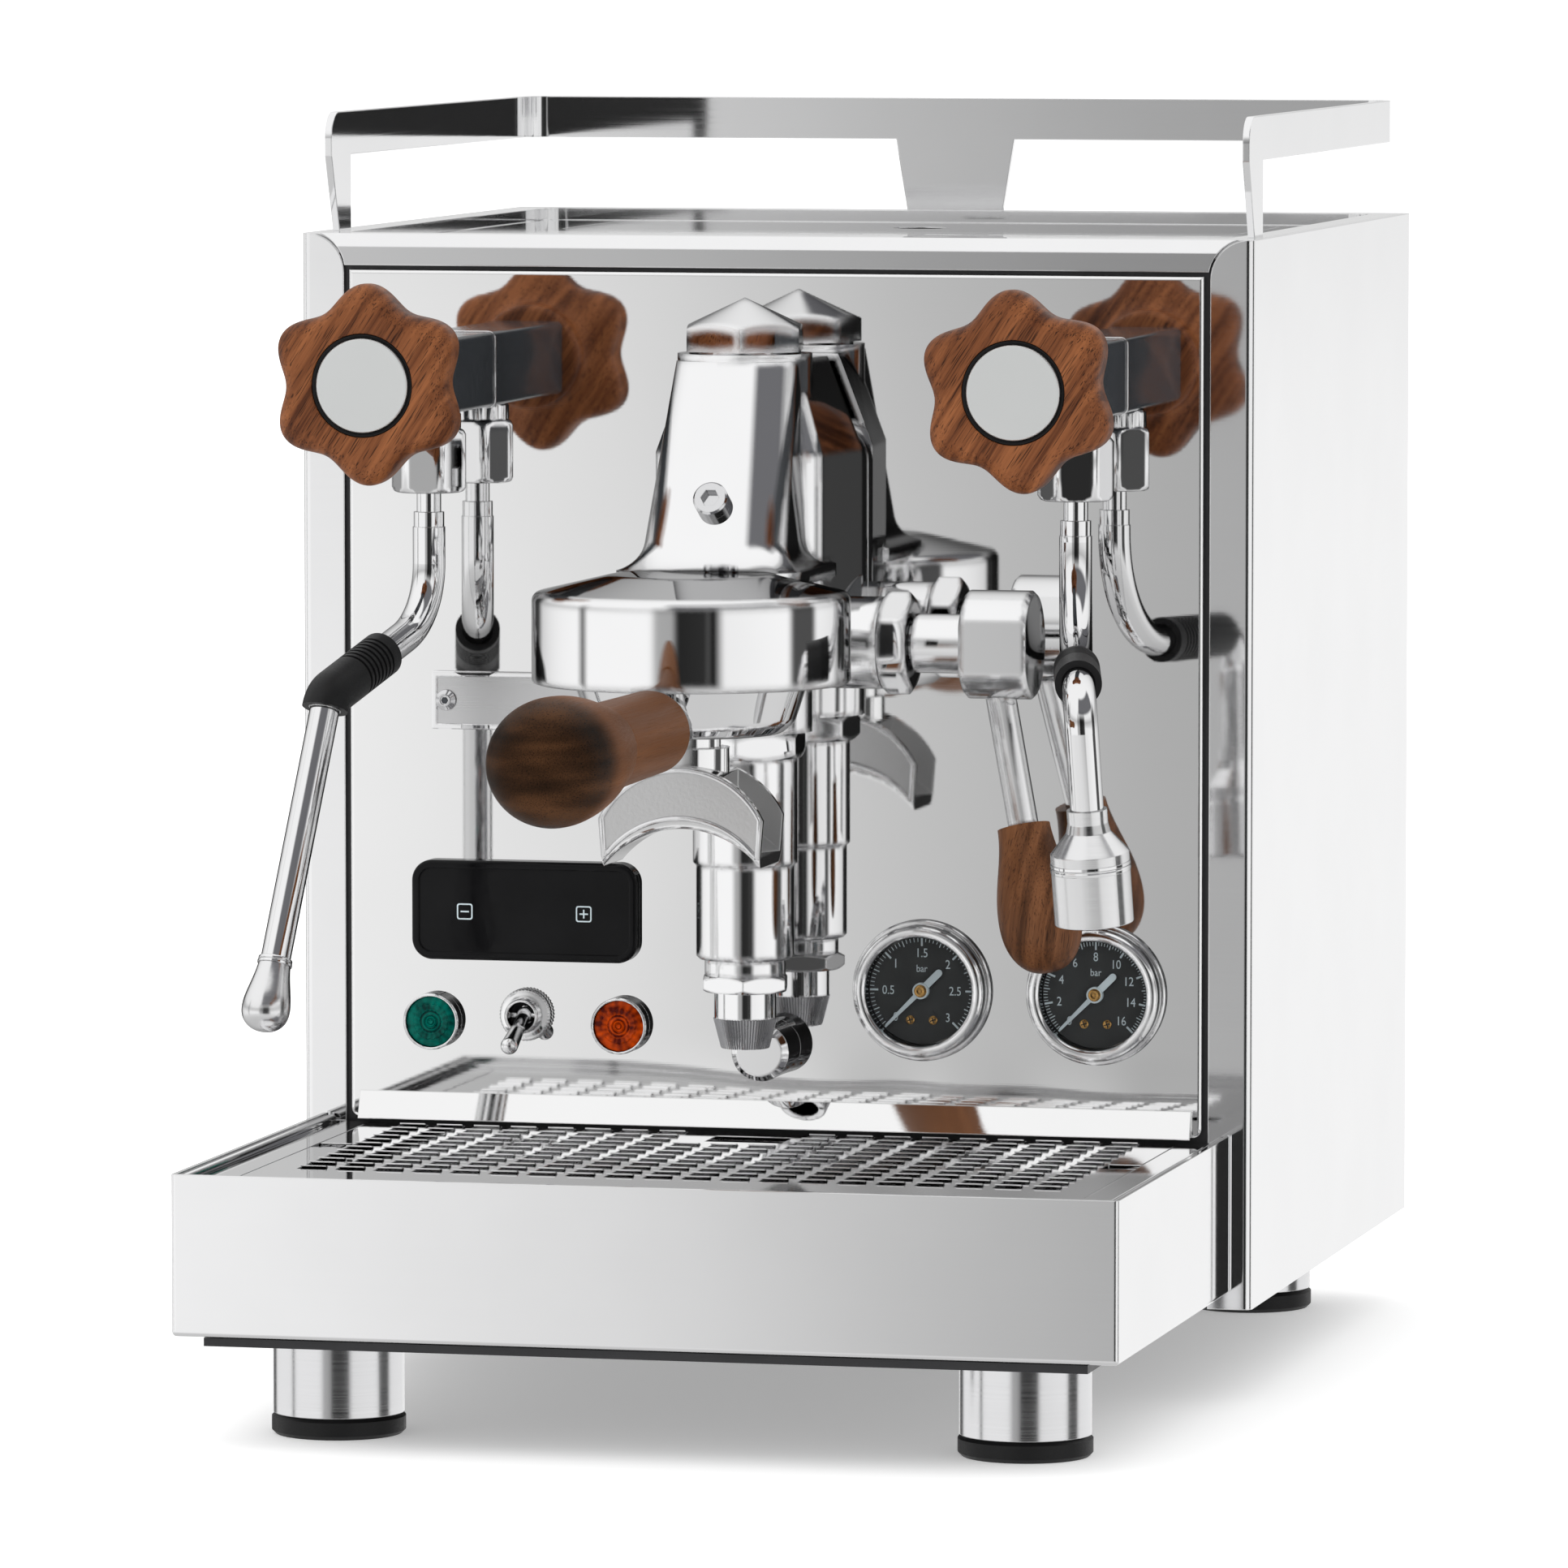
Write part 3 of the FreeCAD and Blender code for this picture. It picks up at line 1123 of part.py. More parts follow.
def nose():
    """Front of the column, which leans forward from the cap and spreads on to the bell."""
    block = Part.makeLoft([nose_section(SKIRT_TOP, 0), nose_section(COLUMN_TOP - 2 * PAST, 0)], True, True)
    sections = []
    for turn in SKIRT_TURNS:
        angle = math.radians(turn)
        sections.append(nose_section(SKIRT_TOP - SKIRT_R * math.sin(angle), SKIRT_R * (1 - math.cos(angle))))
    skirt = Part.makeLoft(sections, True, False)
    foot = Part.Face(sections[-1]).extrude(V(0, 0, -SKIRT_R / 2))
    return block.multiFuse([skirt, foot])


def shoulders():
    """Wider back of the column, whose sloping sides run up to the cap."""
    sections = []
    for z, front, front_half, back_half in (
            (SHOULDER_BOTTOM, SHOULDER_FRONT, SHOULDER_FRONT_HALF, SHOULDER_BACK_HALF),
            (SHOULDER_Z, SHOULDER_FRONT, SHOULDER_FRONT_HALF, SHOULDER_BACK_HALF),
            (SHOULDER_TOP, SHOULDER_TOP_FRONT, SHOULDER_TOP_FRONT_HALF, SHOULDER_TOP_BACK_HALF)):
        sections.append(level_section(front_half, back_half, front, FLANGE_FRONT, z, SHOULDER_ROUND))
    return Part.makeLoft(sections, True, True)


def bell():
    """Round head with the groove that locks the portafilter."""
    base = V(0, BREW_Y, 0)
    solid = turned([(MOUTH_R, BELL_BOTTOM), (BELL_R, BELL_BOTTOM), (BELL_R, BELL_WALL_TOP),
                    (BELL_CROWN_R, BELL_TOP), (0, BELL_TOP), (0, BELL_CEILING), (EAR_GROOVE_R, BELL_CEILING),
                    (EAR_GROOVE_R, LEDGE_TOP), (MOUTH_R, LEDGE_TOP)], base, Z_AXIS)
    for radius, place in ((BELL_FOOT_EDGE, (BELL_R, BELL_BOTTOM)), (BELL_EDGE, (BELL_R, BELL_WALL_TOP)),
                          (BELL_CROWN_EDGE, (BELL_CROWN_R, BELL_TOP))):
        solid = solid.makeFillet(radius, ring_edges(solid, V(0, 0, 0), Z_AXIS, [place]))
    ways = []
    for turn in (0, 180):
        height = LEDGE_TOP - BELL_BOTTOM + 2 * PAST
        way = Part.makeCylinder(EAR_GROOVE_R, height, V(0, 0, 0), Z_AXIS, EAR_GAP_DEG)
        way.rotate(V(0, 0, 0), Z_AXIS, turn - UNLOCK_DEG - EAR_GAP_DEG / 2)
        way.translate(V(0, BREW_Y, BELL_BOTTOM - PAST))
        ways.append(way)
    return solid.cut(ways)


def group_body():
    """Chromed casting: valve column, nose, bell, shoulders and flange."""
    column = cylinder(COLUMN_R, V(0, VALVE_Y, COLUMN_BOTTOM), V(0, VALVE_Y, COLUMN_TOP))
    back = PANEL_FRONT
    flange = front_plate(0, GROUP_FLANGE_Z, GROUP_FLANGE_WIDTH, GROUP_FLANGE_HEIGHT, GROUP_FLANGE_CORNER,
                         FLANGE_FRONT, back)
    parts = [nose(), shoulders(), flange]
    for z in SPIGOT_ZS:
        parts.append(cylinder(SPIGOT_R, V(0, back - PAST, z), V(0, back + SPIGOT_REACH, z)))
    parts.append(cylinder(LEVER_BOSS_R, V(0, VALVE_Y, LEVER_Z), V(LEVER_BOSS_END, VALVE_Y, LEVER_Z)))
    head = bell()
    room = cylinder(EAR_GROOVE_R, V(0, BREW_Y, BELL_BOTTOM - PAST), V(0, BREW_Y, BELL_CEILING))
    rear = column.multiFuse(parts).cut(room)
    body = rear.fuse(head)
    shaft_room = cylinder(LEVER_SHAFT_R + RUN_GAP, V(-LEVER_SHAFT_IN - FIT_GAP, VALVE_Y, LEVER_Z),
                          V(LEVER_BOSS_END + PAST, VALVE_Y, LEVER_Z))
    cuts = [shaft_room]
    for x, z in bolt_places():
        cuts.append(cylinder(BOLT_R + FIT_GAP, V(x, back - BOLT_GRIP - FIT_GAP, z), V(x, back + PAST, z)))
    start, end = jet_screw_line()
    cuts.append(cylinder(BOLT_R + FIT_GAP, start, end))
    return body.cut(cuts).removeSplitter()


def nose_normal():
    """Direction that the front of the nose faces."""
    rise = COLUMN_TOP - BELL_TOP
    lean = NOSE_FOOT_REACH - NOSE_TOP_REACH
    return V(0, -rise, lean).normalize()


def jet_screw_line():
    """Hole of the screw in the front of the nose, from outside to inside."""
    face = V(0, nose_front(JET_SCREW_Z), JET_SCREW_Z)
    normal = nose_normal()
    return face + normal * PAST, face - normal * (JET_SCREW_H * 2)


def group_screws():
    """Four bolts that hold the flange from behind, and the socket screw in the nose."""
    solids = []
    for x, z in bolt_places():
        shank = cylinder(BOLT_R, V(x, PANEL_FRONT - BOLT_GRIP, z), V(x, BOLT_HEAD_Y, z))
        head = cylinder(BOLT_HEAD_R, V(x, BOLT_HEAD_Y, z), V(x, BOLT_HEAD_Y + BOLT_HEAD_H, z))
        socket = hex_bar(BOLT_HEAD_R, V(x, BOLT_HEAD_Y + BOLT_HEAD_H / 2, z), Y_AXIS, BOLT_HEAD_H)
        solids.append(shank.fuse(head).cut(socket).removeSplitter())
    normal = nose_normal()
    face = V(0, nose_front(JET_SCREW_Z), JET_SCREW_Z)
    edge = JET_SCREW_H / 8
    head = turned([(0, 0), (JET_SCREW_R, 0), (JET_SCREW_R, JET_SCREW_H - edge),
                   (JET_SCREW_R - edge, JET_SCREW_H), (0, JET_SCREW_H)], face, normal)
    socket = hex_bar(JET_SOCKET_FLATS, face + normal * (JET_SCREW_H / 2), normal, JET_SCREW_H)
    shank = cylinder(BOLT_R, face, face - normal * (JET_SCREW_H * 2 - FIT_GAP))
    solids.append(head.fuse(shank).cut(socket).removeSplitter())
    return Part.makeCompound(solids)


def group_cap_nut():
    """Hexagonal cap with a conical top."""
    base = V(0, VALVE_Y, COLUMN_TOP)
    collar = cylinder(CAP_FLATS / 2, base, base + Z_AXIS * CAP_COLLAR_H)
    low = CAP_COLLAR_H
    high = low + CAP_HEX_H + CAP_CONE_H
    reach = CAP_FLATS / math.sqrt(3)
    hexagon = hex_bar(CAP_FLATS, base + Z_AXIS * low, Z_AXIS, high - low, corner_turn(CAP_CORNER_DEG))
    cone = turned([(0, low), (reach, low), (reach, low + CAP_HEX_H - PAST), (0, high)], base, Z_AXIS)
    return hexagon.common(cone).fuse(collar).removeSplitter()


def group_gasket():
    """Rubber ring that the portafilter presses on."""
    low = BOWL_TOP + BASKET_RIM_T + SLIDE_GAP
    outline = [(GASKET_INNER_R, low), (GASKET_OUTER_R, low), (GASKET_OUTER_R, BELL_CEILING),
               (GASKET_INNER_R, BELL_CEILING)]
    return turned(outline, V(0, BREW_Y, 0), Z_AXIS)


def shower_screen():
    """Round screen with a boss that hangs from the bell's ceiling."""
    low = BOWL_TOP + BASKET_RIM_T + SLIDE_GAP
    outline = [(0, low), (SCREEN_R, low), (SCREEN_R, low + SCREEN_T), (SCREEN_BOSS_R, low + SCREEN_T),
               (SCREEN_BOSS_R, BELL_CEILING), (0, BELL_CEILING)]
    return turned(outline, V(0, BREW_Y, 0), Z_AXIS)


def exhaust_valve_body():
    """Stacked chambers under the column, with a hexagonal collar at the top."""
    collar_low = COLUMN_BOTTOM - CHAMBER_COLLAR_H
    edge = CHAMBER_EDGE
    neck_low = CHAMBER_BOTTOM_Z - CHAMBER_NECK_H
    outline = [(0, collar_low), (0, neck_low), (CHAMBER_NECK_R, neck_low), (CHAMBER_NECK_R, CHAMBER_BOTTOM_Z),
               (CHAMBER_LOWER_R - edge, CHAMBER_BOTTOM_Z), (CHAMBER_LOWER_R, CHAMBER_BOTTOM_Z + edge),
               (CHAMBER_LOWER_R, CHAMBER_STEP_Z - edge), (CHAMBER_UPPER_R, CHAMBER_STEP_Z),
               (CHAMBER_UPPER_R, collar_low)]
    tubes = turned(outline, V(0, VALVE_Y, 0), Z_AXIS)
    collar = chamfered_hex(CHAMBER_COLLAR_FLATS, V(0, VALVE_Y, collar_low), Z_AXIS, CHAMBER_COLLAR_H,
                           face_turn(CHAMBER_FACE_DEG))
    return tubes.fuse(collar).removeSplitter()


def exhaust_nozzle():
    """Nut and tapered nozzle that drains into the tray."""
    top = CHAMBER_BOTTOM_Z - CHAMBER_NECK_H
    base = V(0, VALVE_Y, top)
    nut = chamfered_hex(NOZZLE_NUT_FLATS, base + DOWN * NOZZLE_NUT_H, Z_AXIS, NOZZLE_NUT_H,
                        corner_turn(NOZZLE_CORNER_DEG))
    low = NOZZLE_NUT_H + NOZZLE_LENGTH
    outline = [(NOZZLE_BORE_R, NOZZLE_NUT_H), (NOZZLE_R, NOZZLE_NUT_H),
               (NOZZLE_R, NOZZLE_NUT_H + NOZZLE_STRAIGHT),
               (NOZZLE_TIP_R, low), (NOZZLE_BORE_R, low)]
    return nut.fuse(turned(outline, base, DOWN)).removeSplitter()


# Lever
def lever_axis(x):
    """Point on the lever's axis at a place across the machine."""
    return V(x, VALVE_Y, LEVER_Z)


def lever_gland_nut():
    """Nut that closes the shaft's gland."""
    nut = chamfered_hex(GLAND_FLATS, lever_axis(LEVER_BOSS_END), X_AXIS, GLAND_LENGTH)
    end = LEVER_BOSS_END + GLAND_LENGTH
    bore = cylinder(LEVER_SHAFT_R + RUN_GAP, lever_axis(LEVER_BOSS_END - PAST), lever_axis(end + PAST))
    return nut.cut(bore)


def lever_shaft():
    """Cam shaft in the column, fixed in the head of the lever."""
    return cylinder(LEVER_SHAFT_R, lever_axis(-LEVER_SHAFT_IN), lever_axis(HEAD_START + HEAD_LENGTH / 2))


def rod_point(z):
    """Point on the middle of the lever's rod at a height."""
    drop = LEVER_Z - HEAD_R - z
    x = HEAD_START + HEAD_LENGTH / 2
    return V(x + ROD_OUT * drop, VALVE_Y - ROD_FORWARD * drop, z)


def brew_lever():
    """Barrel, head and slanting rod of the lever."""
    barrel = cylinder(BARREL_R, lever_axis(BARREL_START), lever_axis(HEAD_START))
    end = HEAD_START + HEAD_LENGTH
    edge = PAST
    head = turned([(0, 0), (HEAD_R - edge, 0), (HEAD_R, edge), (HEAD_R, HEAD_LENGTH - edge),
                   (HEAD_R - edge, HEAD_LENGTH), (0, HEAD_LENGTH)], lever_axis(HEAD_START), X_AXIS)
    flat = box(HEAD_START - PAST, end + PAST, VALVE_Y - 2 * HEAD_R, VALVE_Y - HEAD_FLAT,
               LEVER_Z - 2 * HEAD_R, LEVER_Z + 2 * HEAD_R)
    rod = cylinder(ROD_R, rod_point(ROD_TOP_Z), rod_point(GRIP_TOP_Z))
    room = cylinder(LEVER_SHAFT_R + RUN_GAP, lever_axis(BARREL_START - PAST),
                    lever_axis(HEAD_START + HEAD_LENGTH / 2 + RUN_GAP))
    return barrel.multiFuse([head.cut(flat), rod]).cut(room).removeSplitter()


def lever_grip():
    """Wooden grip that swells towards its rounded end."""
    start = rod_point(GRIP_TOP_Z)
    along = rod_point(GRIP_TOP_Z - GRIP_LENGTH) - start
    length = GRIP_LENGTH
    curve = [(GRIP_TOP_R, 0), (GRIP_TOP_R * 1.15, length * 0.2), (GRIP_R * 0.94, length * 0.45),
             (GRIP_R, length * 0.64), (GRIP_R * 0.92, length * 0.8), (GRIP_R * 0.62, length * 0.94),
             (0, length)]
    return turned_curve(curve, start, along)


# Portafilter
def portafilter_body():
    """Tapered bowl with two ears, and the arm and ferrule for the handle."""
    floor = BOWL_BOTTOM + BOWL_FLOOR
    base = V(0, BREW_Y, 0)
    bowl = turned([(0, BOWL_BOTTOM), (BOWL_FOOT_R, BOWL_BOTTOM), (BOWL_LOW_R, BOWL_LOW_Z),
                   (BOWL_R, BELL_BOTTOM), (BOWL_R, BOWL_TOP), (0, BOWL_TOP)], base, Z_AXIS)
    low_rings = ring_edges(bowl, V(0, 0, 0), Z_AXIS, [(BOWL_FOOT_R, BOWL_BOTTOM), (BOWL_LOW_R, BOWL_LOW_Z)])
    bowl = bowl.makeFillet(BOWL_ROUND, low_rings)
    parts = []
    for side in (0, 180):
        ear = Part.makeCylinder(EAR_R, EAR_T, V(0, 0, LEDGE_TOP + SLIDE_GAP), Z_AXIS, EAR_DEG)
        ear.rotate(V(0, 0, 0), Z_AXIS, side - EAR_DEG / 2)
        ear.translate(base)
        parts.append(ear)
    root = V(0, BREW_Y, HANDLE_Z)
    start = BOWL_FOOT_R - BOWL_FLOOR
    tang_end = HANDLE_START + HANDLE_TANG
    arm = turned([(0, start), (ARM_ROOT_R, start), (ARM_ROOT_R, BOWL_R), (ARM_R, BOWL_R + ARM_FLARE),
                  (ARM_R, ARM_END), (FERRULE_R, ARM_END), (FERRULE_R, HANDLE_START),
                  (HANDLE_TANG_R, HANDLE_START), (HANDLE_TANG_R, tang_end), (0, tang_end)], root, FORWARD)
    low_part = cylinder(BOWL_R, V(0, BREW_Y, BOWL_BOTTOM - ARM_R * 2), V(0, BREW_Y, BOWL_BOTTOM))
    parts.append(arm.cut(low_part))
    inside = turned([(0, floor), (BOWL_BORE_R - BOWL_FLOOR, floor), (BOWL_BORE_R, floor + BOWL_FLOOR),
                     (BOWL_BORE_R, BOWL_TOP + PAST), (0, BOWL_TOP + PAST)], base, Z_AXIS)
    return bowl.multiFuse(parts).cut([inside, spout_bore()])


def spout_bore():
    """Hole in the bowl's floor that the spout's neck fills."""
    return cylinder(SPOUT_NECK_R + FIT_GAP, V(0, BREW_Y, BOWL_BOTTOM - PAST),
                    V(0, BREW_Y, BOWL_BOTTOM + BOWL_FLOOR + PAST))


def portafilter_handle():
    """Turned wooden handle: a short neck, a crease and a long bulb."""
    length = HANDLE_LENGTH
    ball = HANDLE_BALL_R
    crease = HANDLE_NECK_LENGTH
    start = V(0, BREW_Y - HANDLE_START, HANDLE_Z)
    neck = turned([(0, 0), (HANDLE_NECK_R, 0), (HANDLE_NECK_END_R, crease), (0, crease)], start, FORWARD)
    rest = length - crease
    curve = [(HANDLE_BULB_ROOT_R, 0), (ball * 0.85, rest * 0.26), (ball * 0.975, rest * 0.58),
             (ball, rest * 0.74), (ball * 0.88, rest * 0.89), (ball * 0.52, rest * 0.975), (0, rest)]
    bulb = turned_curve(curve, start + FORWARD * crease, FORWARD)
    end = start + FORWARD * (HANDLE_TANG + FIT_GAP)
    return neck.fuse(bulb).cut(cylinder(HANDLE_TANG_R + FIT_GAP, start - FORWARD * PAST, end))


def filter_basket():
    """Steel basket that hangs in the bowl by its rim."""
    low = BOWL_TOP - BASKET_DEPTH
    inner = BASKET_R - BASKET_WALL
    top = BOWL_TOP + BASKET_RIM_T
    outline = [(0, low), (BASKET_R, low), (BASKET_R, BOWL_TOP), (BASKET_RIM, BOWL_TOP), (BASKET_RIM, top),
               (inner, top), (inner, low + BASKET_WALL), (0, low + BASKET_WALL)]
    return turned(outline, V(0, BREW_Y, 0), Z_AXIS)


def spout_crescent():
    """Crescent of the spout as a full block, rounded along its arch."""
    y = BREW_Y - SPOUT_DEPTH / 2
    left_end = V(-SPOUT_END_HALF, y, SPOUT_END_Z)
    right_end = V(SPOUT_END_HALF, y, SPOUT_END_Z)
    left_tip = V(-SPOUT_TIP_HALF, y, SPOUT_TIP_Z)
    right_tip = V(SPOUT_TIP_HALF, y, SPOUT_TIP_Z)
    outer = Part.Arc(left_end, V(0, y, SPOUT_TOP), right_end).toShape()
    arch = Part.Arc(right_tip, V(0, y, SPOUT_ARCH_TOP), left_tip).toShape()
    outline = Part.Wire([outer, Part.makeLine(right_end, right_tip), arch, Part.makeLine(left_tip, left_end)])
    block = Part.Face(outline).extrude(V(0, SPOUT_DEPTH, 0))
    arches = [edge for edge in block.Edges if abs(edge.BoundBox.ZMax - SPOUT_ARCH_TOP) < PAST / 10
              and edge.BoundBox.YLength < PAST]
    return block.makeFillet(SPOUT_ROUND, arches)


def spout_troughs():
    """Room inside the crescent, on both sides of the hub and open at the top and the ends."""
    rise = SPOUT_ARCH_TOP - SPOUT_TIP_Z
    arch_r = (SPOUT_TIP_HALF ** 2 + rise ** 2) / (2 * rise)
    half = SPOUT_DEPTH / 2
    inner = half - SPOUT_WALL
    middle = SPOUT_ARCH_TOP - arch_r
    floor = cylinder(arch_r + SPOUT_FLOOR, V(0, BREW_Y - half, middle), V(0, BREW_Y + half, middle))
    end = SPOUT_END_HALF + PAST
    rooms = []
    for x0, x1 in ((-end, -SPOUT_HUB_R), (SPOUT_HUB_R, end)):
        room = box(x0, x1, BREW_Y - inner, BREW_Y + inner, SPOUT_TIP_Z - PAST, SPOUT_TOP + PAST)
        rooms.append(room.cut(floor))
    return rooms


def double_spout():
    """Double spout: an arched trough with a tip at each end, under a threaded hub."""
    neck = SPOUT_NECK_R
    hub = turned([(0, SPOUT_HUB_BOTTOM), (SPOUT_HUB_R, SPOUT_HUB_BOTTOM), (SPOUT_HUB_R, SPOUT_HUB_TOP),
                  (SPOUT_THREAD_R, SPOUT_HUB_TOP), (SPOUT_THREAD_R, BOWL_BOTTOM), (neck, BOWL_BOTTOM),
                  (neck, BOWL_BOTTOM + BOWL_FLOOR), (0, BOWL_BOTTOM + BOWL_FLOOR)], V(0, BREW_Y, 0), Z_AXIS)
    return spout_crescent().cut(spout_troughs()).fuse(hub).removeSplitter()


# Valves and wands
def valve_bodies():
    """Two square bars that carry the knobs and the wands."""
    solids = []
    half = VALVE_BAR / 2
    for x in mirrored_places(VALVE_X):
        bar = rounded_box(x - half, x + half, VALVE_BAR_FRONT, PANEL_FRONT, VALVE_Z - half, VALVE_Z + half,
                          Y_AXIS, VALVE_BAR_ROUND)
        tail = cylinder(VALVE_TAIL_R, V(x, PANEL_FRONT, VALVE_Z), V(x, PANEL_FRONT + VALVE_TAIL, VALVE_Z))
        bore = cylinder(SPINDLE_R + RUN_GAP, V(x, VALVE_BAR_FRONT - PAST, VALVE_Z),
                        V(x, VALVE_BAR_FRONT + SPINDLE_DEPTH + FIT_GAP, VALVE_Z))
        solids.append(bar.fuse(tail).cut(bore).removeSplitter())
    return Part.makeCompound(solids)


def valve_spindle(side):
    """Stem of a valve with the bright cap that holds the knob."""
    x = side * VALVE_X
    cap_back = KNOB_FRONT + KNOB_CAP_T
    stem = cylinder(SPINDLE_R, V(x, cap_back, VALVE_Z), V(x, VALVE_BAR_FRONT + SPINDLE_DEPTH, VALVE_Z))
    edge = KNOB_CAP_EDGE
    cap = turned([(0, 0), (KNOB_CAP_R, 0), (KNOB_CAP_R, KNOB_CAP_T - edge), (KNOB_CAP_R - edge, KNOB_CAP_T),
                  (0, KNOB_CAP_T)], V(x, cap_back, VALVE_Z), FORWARD)
    return stem.fuse(cap).removeSplitter()


def valve_knob(side):
    """Six-lobed wooden knob with rounded edges."""
    x = side * VALVE_X
    steps = KNOB_LOBES * KNOB_LOBE_POINTS
    points = []
    for k in range(steps):
        turn = 2 * math.pi * k / steps
        radius = KNOB_R + KNOB_LOBE * math.cos(KNOB_LOBES * (turn - math.pi / 2))
        points.append(V(x + radius * math.cos(turn), KNOB_BACK, VALVE_Z + radius * math.sin(turn)))
    outline = Part.BSplineCurve()
    outline.interpolate(points, PeriodicFlag=True)
    disc = Part.Face(Part.Wire(outline.toShape())).extrude(V(0, -KNOB_T, 0))
    disc = disc.makeFillet(KNOB_ROUND, front_edges(disc, KNOB_BACK) + front_edges(disc, KNOB_FRONT))
    cap_back = KNOB_FRONT + KNOB_CAP_T
    recess = cylinder(KNOB_RECESS_R, V(x, KNOB_FRONT - PAST, VALVE_Z), V(x, cap_back, VALVE_Z))
    bore = cylinder(SPINDLE_R + RUN_GAP, V(x, KNOB_FRONT - PAST, VALVE_Z), V(x, KNOB_BACK + PAST, VALVE_Z))
    return disc.cut([recess, bore])


def joint_nuts():
    """Two nuts with fluted necks under the bars, which hold the wands' balls."""
    solids = []
    top = VALVE_Z - VALVE_BAR / 2
    for x in mirrored_places(WAND_X):
        nut = chamfered_hex(JOINT_NUT_FLATS, V(x, WAND_Y, NUT_BOTTOM), Z_AXIS, JOINT_NUT_H,
                            face_turn(JOINT_FACE_DEG))
        neck = cylinder(JOINT_NECK_R, V(x, WAND_Y, top - JOINT_NECK_H), V(x, WAND_Y, top))
        socket = Part.makeSphere(BALL_R + SLIDE_GAP, V(x, WAND_Y, BALL_Z))
        mouth = cylinder(NUT_MOUTH_R, V(x, WAND_Y, NUT_BOTTOM - PAST), V(x, WAND_Y, BALL_Z))
        throat = cylinder(BALL_R + SLIDE_GAP, V(x, WAND_Y, BALL_Z), V(x, WAND_Y, top + PAST))
        flutes = []
        for k in range(JOINT_FLUTES):
            turn = 2 * math.pi * k / JOINT_FLUTES
            place = V(x + JOINT_NECK_R * math.cos(turn), WAND_Y + JOINT_NECK_R * math.sin(turn),
                      top - JOINT_NECK_H)
            flutes.append(cylinder(JOINT_FLUTE_R, place, place + Z_AXIS * (JOINT_NECK_H - JOINT_FLUTE_R)))
        solids.append(nut.fuse(neck.cut(flutes)).cut([socket, mouth, throat]))
    return Part.makeCompound(solids)


def wand_ball(side):
    """Ball that a wand turns and tilts with."""
    return Part.makeSphere(BALL_R, V(side * WAND_X, WAND_Y, BALL_Z))


def wand_point(side, splay, out, z):
    """Point of a wand at a height, so far out from its axis and splayed from straight ahead."""
    turn = math.radians(splay)
    return V(side * (WAND_X + out * math.sin(turn)), WAND_Y - out * math.cos(turn), z)


def wand_corners(side, path):
    """Corners of a wand's middle line: top of the pipe, elbow, knee and end."""
    elbow_z, elbow_bend, knee, knee_bend, end = path
    top = V(side * WAND_X, WAND_Y, NUT_BOTTOM + BALL_R - STEM_LENGTH)
    return top, V(top.x, top.y, elbow_z), wand_point(side, *knee), wand_point(side, *end)


def knee_reach(side, path):
    """How far the knee's bend reaches along the straight pipes on both sides of its corner."""
    top, elbow, knee, end = wand_corners(side, path)
    return path[3] * math.tan((knee - elbow).getAngle(end - knee) / 2)


def knee_end(side, path):
    """Point on the lower pipe just past the knee's bend."""
    top, elbow, knee, end = wand_corners(side, path)
    return knee + (end - knee).normalize() * (knee_reach(side, path) + SLEEVE_TAIL)


def wand(side, path, lower_r):
    """Stem, bent pipe and lower pipe of a wand."""
    ball = V(side * WAND_X, WAND_Y, BALL_Z)
    top, elbow, knee, end = wand_corners(side, path)
    shoulder = top + DOWN * PIPE_COLLAR_H
    stem = cylinder(STEM_R, ball, top)
    collar = cylinder(PIPE_COLLAR_R, top, shoulder)
    bend = knee_end(side, path)
    pipe = bent_tube([shoulder, elbow, knee, bend], [path[1], path[3]], PIPE_R)
    lower = cylinder(lower_r, bend, end)
    whole = pipe.multiFuse([stem, collar, lower])
    return whole.cut(Part.makeSphere(BALL_R + SLIDE_GAP, ball)).removeSplitter()


def sleeve_start(side, path, out):
    """Point on the pipe where a sleeve starts, and the direction of the pipe there."""
    top, elbow, knee, end = wand_corners(side, path)
    return elbow + (knee - elbow) * (out / path[2][1]), (knee - elbow).normalize()


def sleeve_grooves(start, run):
    """Rings that are cut into a sleeve near its start."""
    rings = []
    for k in range(SLEEVE_GROOVES):
        near = GROOVE_FIRST + k * GROOVE_PITCH
        far = near + GROOVE_WIDTH
        rings.append(turned([(SLEEVE_R - GROOVE_DEPTH, near), (SLEEVE_R + PAST, near), (SLEEVE_R + PAST, far),
                             (SLEEVE_R - GROOVE_DEPTH, far)], start, run))
    return rings


def nozzle_line(side, path):
    """End of a wand's lower pipe, and the direction that it points."""
    top, elbow, knee, end = wand_corners(side, path)
    return end, (end - knee).normalize()


def steam_knob():
    """Left knob."""
    return valve_knob(-1)


def steam_spindle():
    """Left valve stem."""
    return valve_spindle(-1)


def steam_ball():
    """Left ball."""
    return wand_ball(-1)


def steam_wand():
    """Left wand."""
    return wand(-1, STEAM_PATH, STEAM_LOWER_R)


def steam_sleeve():
    """Left grip, bent round the knee."""
    knee = wand_corners(-1, STEAM_PATH)[2]
    start, run = sleeve_start(-1, STEAM_PATH, STEAM_SLEEVE_OUT)
    stop = knee_end(-1, STEAM_PATH)
    past = (stop - knee).normalize() * PAST
    cover = bent_tube([start, knee, stop], [STEAM_KNEE_BEND], SLEEVE_R)
    bore = bent_tube([start - run * PAST, knee, stop + past], [STEAM_KNEE_BEND], PIPE_R + RUN_GAP)
    return cover.cut([bore] + sleeve_grooves(start, run))


